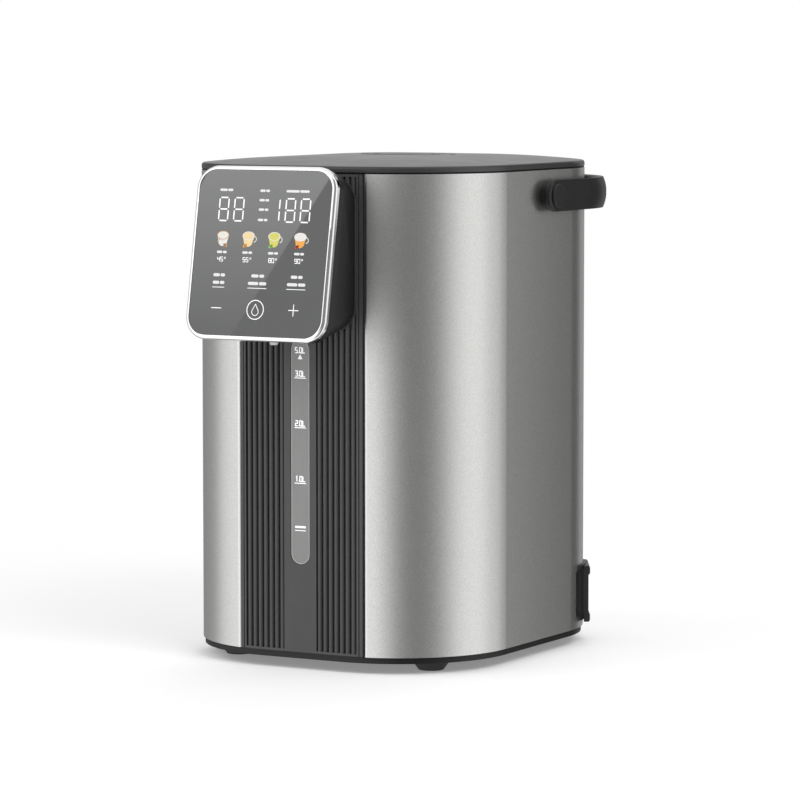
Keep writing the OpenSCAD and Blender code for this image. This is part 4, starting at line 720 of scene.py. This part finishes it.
def make_floor():
    """White floor: it keeps the shadow near the object and turns pure white further out.

    It isn't mirrored, so the studio cards show in the steel right down to the feet.
    """
    finish = Finish("floor_white", (0.86, 0.86, 0.86), 0.9)
    finish.mottle(0.4, 0.01)
    finish.set("Emission Color", (1, 1, 1, 1))
    finish.set("Emission Strength", FLOOR_GLOW)
    tree = finish.tree
    reach = finish.add("ShaderNodeVectorMath")
    reach.operation = "LENGTH"
    finish.link(finish.place, reach.inputs[0])
    fade = finish.add("ShaderNodeMapRange")
    fade.interpolation_type = "SMOOTHSTEP"
    fade.inputs["From Min"].default_value = SHADOW_NEAR
    fade.inputs["From Max"].default_value = SHADOW_FAR
    finish.link(reach.outputs["Value"], fade.inputs["Value"])
    seen = finish.add("ShaderNodeMath")
    seen.operation = "MULTIPLY"
    finish.link(fade.outputs["Result"], seen.inputs[0])
    finish.link(light_path(tree), seen.inputs[1])
    white = finish.add("ShaderNodeEmission")
    mix = finish.add("ShaderNodeMixShader")
    finish.link(seen.outputs["Value"], mix.inputs["Fac"])
    finish.link(finish.surface.outputs["BSDF"], mix.inputs[1])
    finish.link(white.outputs["Emission"], mix.inputs[2])
    finish.link(mix.outputs["Shader"], finish.output.inputs["Surface"])
    half = FLOOR_SIZE / 2
    corners = [(-half, -half, 0), (half, -half, 0), (half, half, 0), (-half, half, 0)]
    floor = staged("floor", corners, [(0, 1, 2, 3)], finish.material)
    floor.visible_glossy = False


def make_card(name, vertices, levels):
    """A card that only reflections see.

    Its vertices run along it in pairs, one on each edge, each with a light level.
    """
    material = bpy.data.materials.new(name)
    material.use_nodes = True
    tree = material.node_tree
    tree.nodes.clear()
    output = tree.nodes.new("ShaderNodeOutputMaterial")
    glow = tree.nodes.new("ShaderNodeEmission")
    level = tree.nodes.new("ShaderNodeAttribute")
    level.attribute_name = "level"
    tree.links.new(level.outputs["Fac"], glow.inputs["Strength"])
    tree.links.new(glow.outputs["Emission"], output.inputs["Surface"])
    faces = [(i, i + 2, i + 3, i + 1) for i in range(0, len(vertices) - 2, 2)]
    card = staged(name, vertices, faces, material)
    card.data.attributes.new("level", "FLOAT", "POINT").data.foreach_set("value", levels)
    card.visible_camera = False
    card.visible_diffuse = False
    card.visible_transmission = False
    card.visible_shadow = False


def wall_level(bearing):
    """The wall's light level at a bearing, between its stops."""
    for (start, low), (end, high) in zip(WALL_STOPS, WALL_STOPS[1:]):
        if bearing <= end:
            return low + (high - low) * (bearing - start) / (end - start)
    return WALL_STOPS[-1][1]


def make_wall():
    vertices, levels = [], []
    for i in range(WALL_STEPS + 1):
        bearing = -180 + 360 * i / WALL_STEPS
        t = math.radians(bearing)
        for z in (WALL_LOW, WALL_HIGH):
            vertices.append((WALL_RADIUS * math.sin(t), -WALL_RADIUS * math.cos(t), z))
            levels.append(wall_level(bearing))
    make_card("wall", vertices, levels)


def make_shade():
    vertices = []
    for i in range(SHADE_STEPS + 1):
        t = math.radians(SHADE_START + (SHADE_END - SHADE_START) * i / SHADE_STEPS)
        for z in (SHADE_LOW, SHADE_HIGH):
            vertices.append((SHADE_CENTRE[0] + SHADE_RADIUS * math.sin(t),
                             SHADE_CENTRE[1] - SHADE_RADIUS * math.cos(t), z))
    make_card("shade", vertices, [SHADE_LEVEL] * len(vertices))


def make_gleam():
    """A slanted card that the display glass mirrors as one diagonal gleam, fading downwards."""
    glass = Sheet("display_glass")
    behind = CAMERA_PLACE - glass.normal * (2 * (CAMERA_PLACE - glass.middle).dot(glass.normal))
    distance = (CAMERA_PLACE - glass.middle).length
    scale = 1 + GLEAM_REACH / distance
    vertices, levels = [], []
    for i in range(GLEAM_STEPS + 1):
        t = i / GLEAM_STEPS
        for top, bottom in (GLEAM_LEFT_MM, GLEAM_RIGHT_MM):
            x = top[0] + (bottom[0] - top[0]) * t
            z = top[1] + (bottom[1] - top[1]) * t
            vertices.append(behind + (glass.point(x, z, 0) - behind) * scale)
            levels.append(GLEAM_LEVEL * (1 - t) + GLEAM_END * t)
    glass.mesh.free()
    make_card("gleam_card", vertices, levels)


def make_lamp(name, bearing, height, distance, size, power):
    """A square soft lamp aimed at the middle of the object."""
    data = bpy.data.lights.new(name, "AREA")
    data.size = size
    data.energy = power
    lamp = bpy.data.objects.new(name, data)
    target = (CAD_BOX[0] + CAD_BOX[1]) / 2
    t, e = math.radians(bearing), math.radians(height)
    out = Vector((math.sin(t) * math.cos(e), -math.cos(t) * math.cos(e), math.sin(e)))
    lamp.location = target + out * distance
    lamp.rotation_euler = out.to_track_quat("Z", "Y").to_euler()
    bpy.context.scene.collection.objects.link(lamp)
    lamp.visible_camera = False
    lamp.visible_glossy = False


def make_studio():
    bpy.context.scene.view_settings.view_transform = "Standard"
    make_world()
    make_floor()
    make_wall()
    make_shade()
    make_gleam()
    for lamp in LAMPS:
        make_lamp(*lamp)


make_camera()
make_finishes()
display_prints()
gauge_prints()
make_studio()
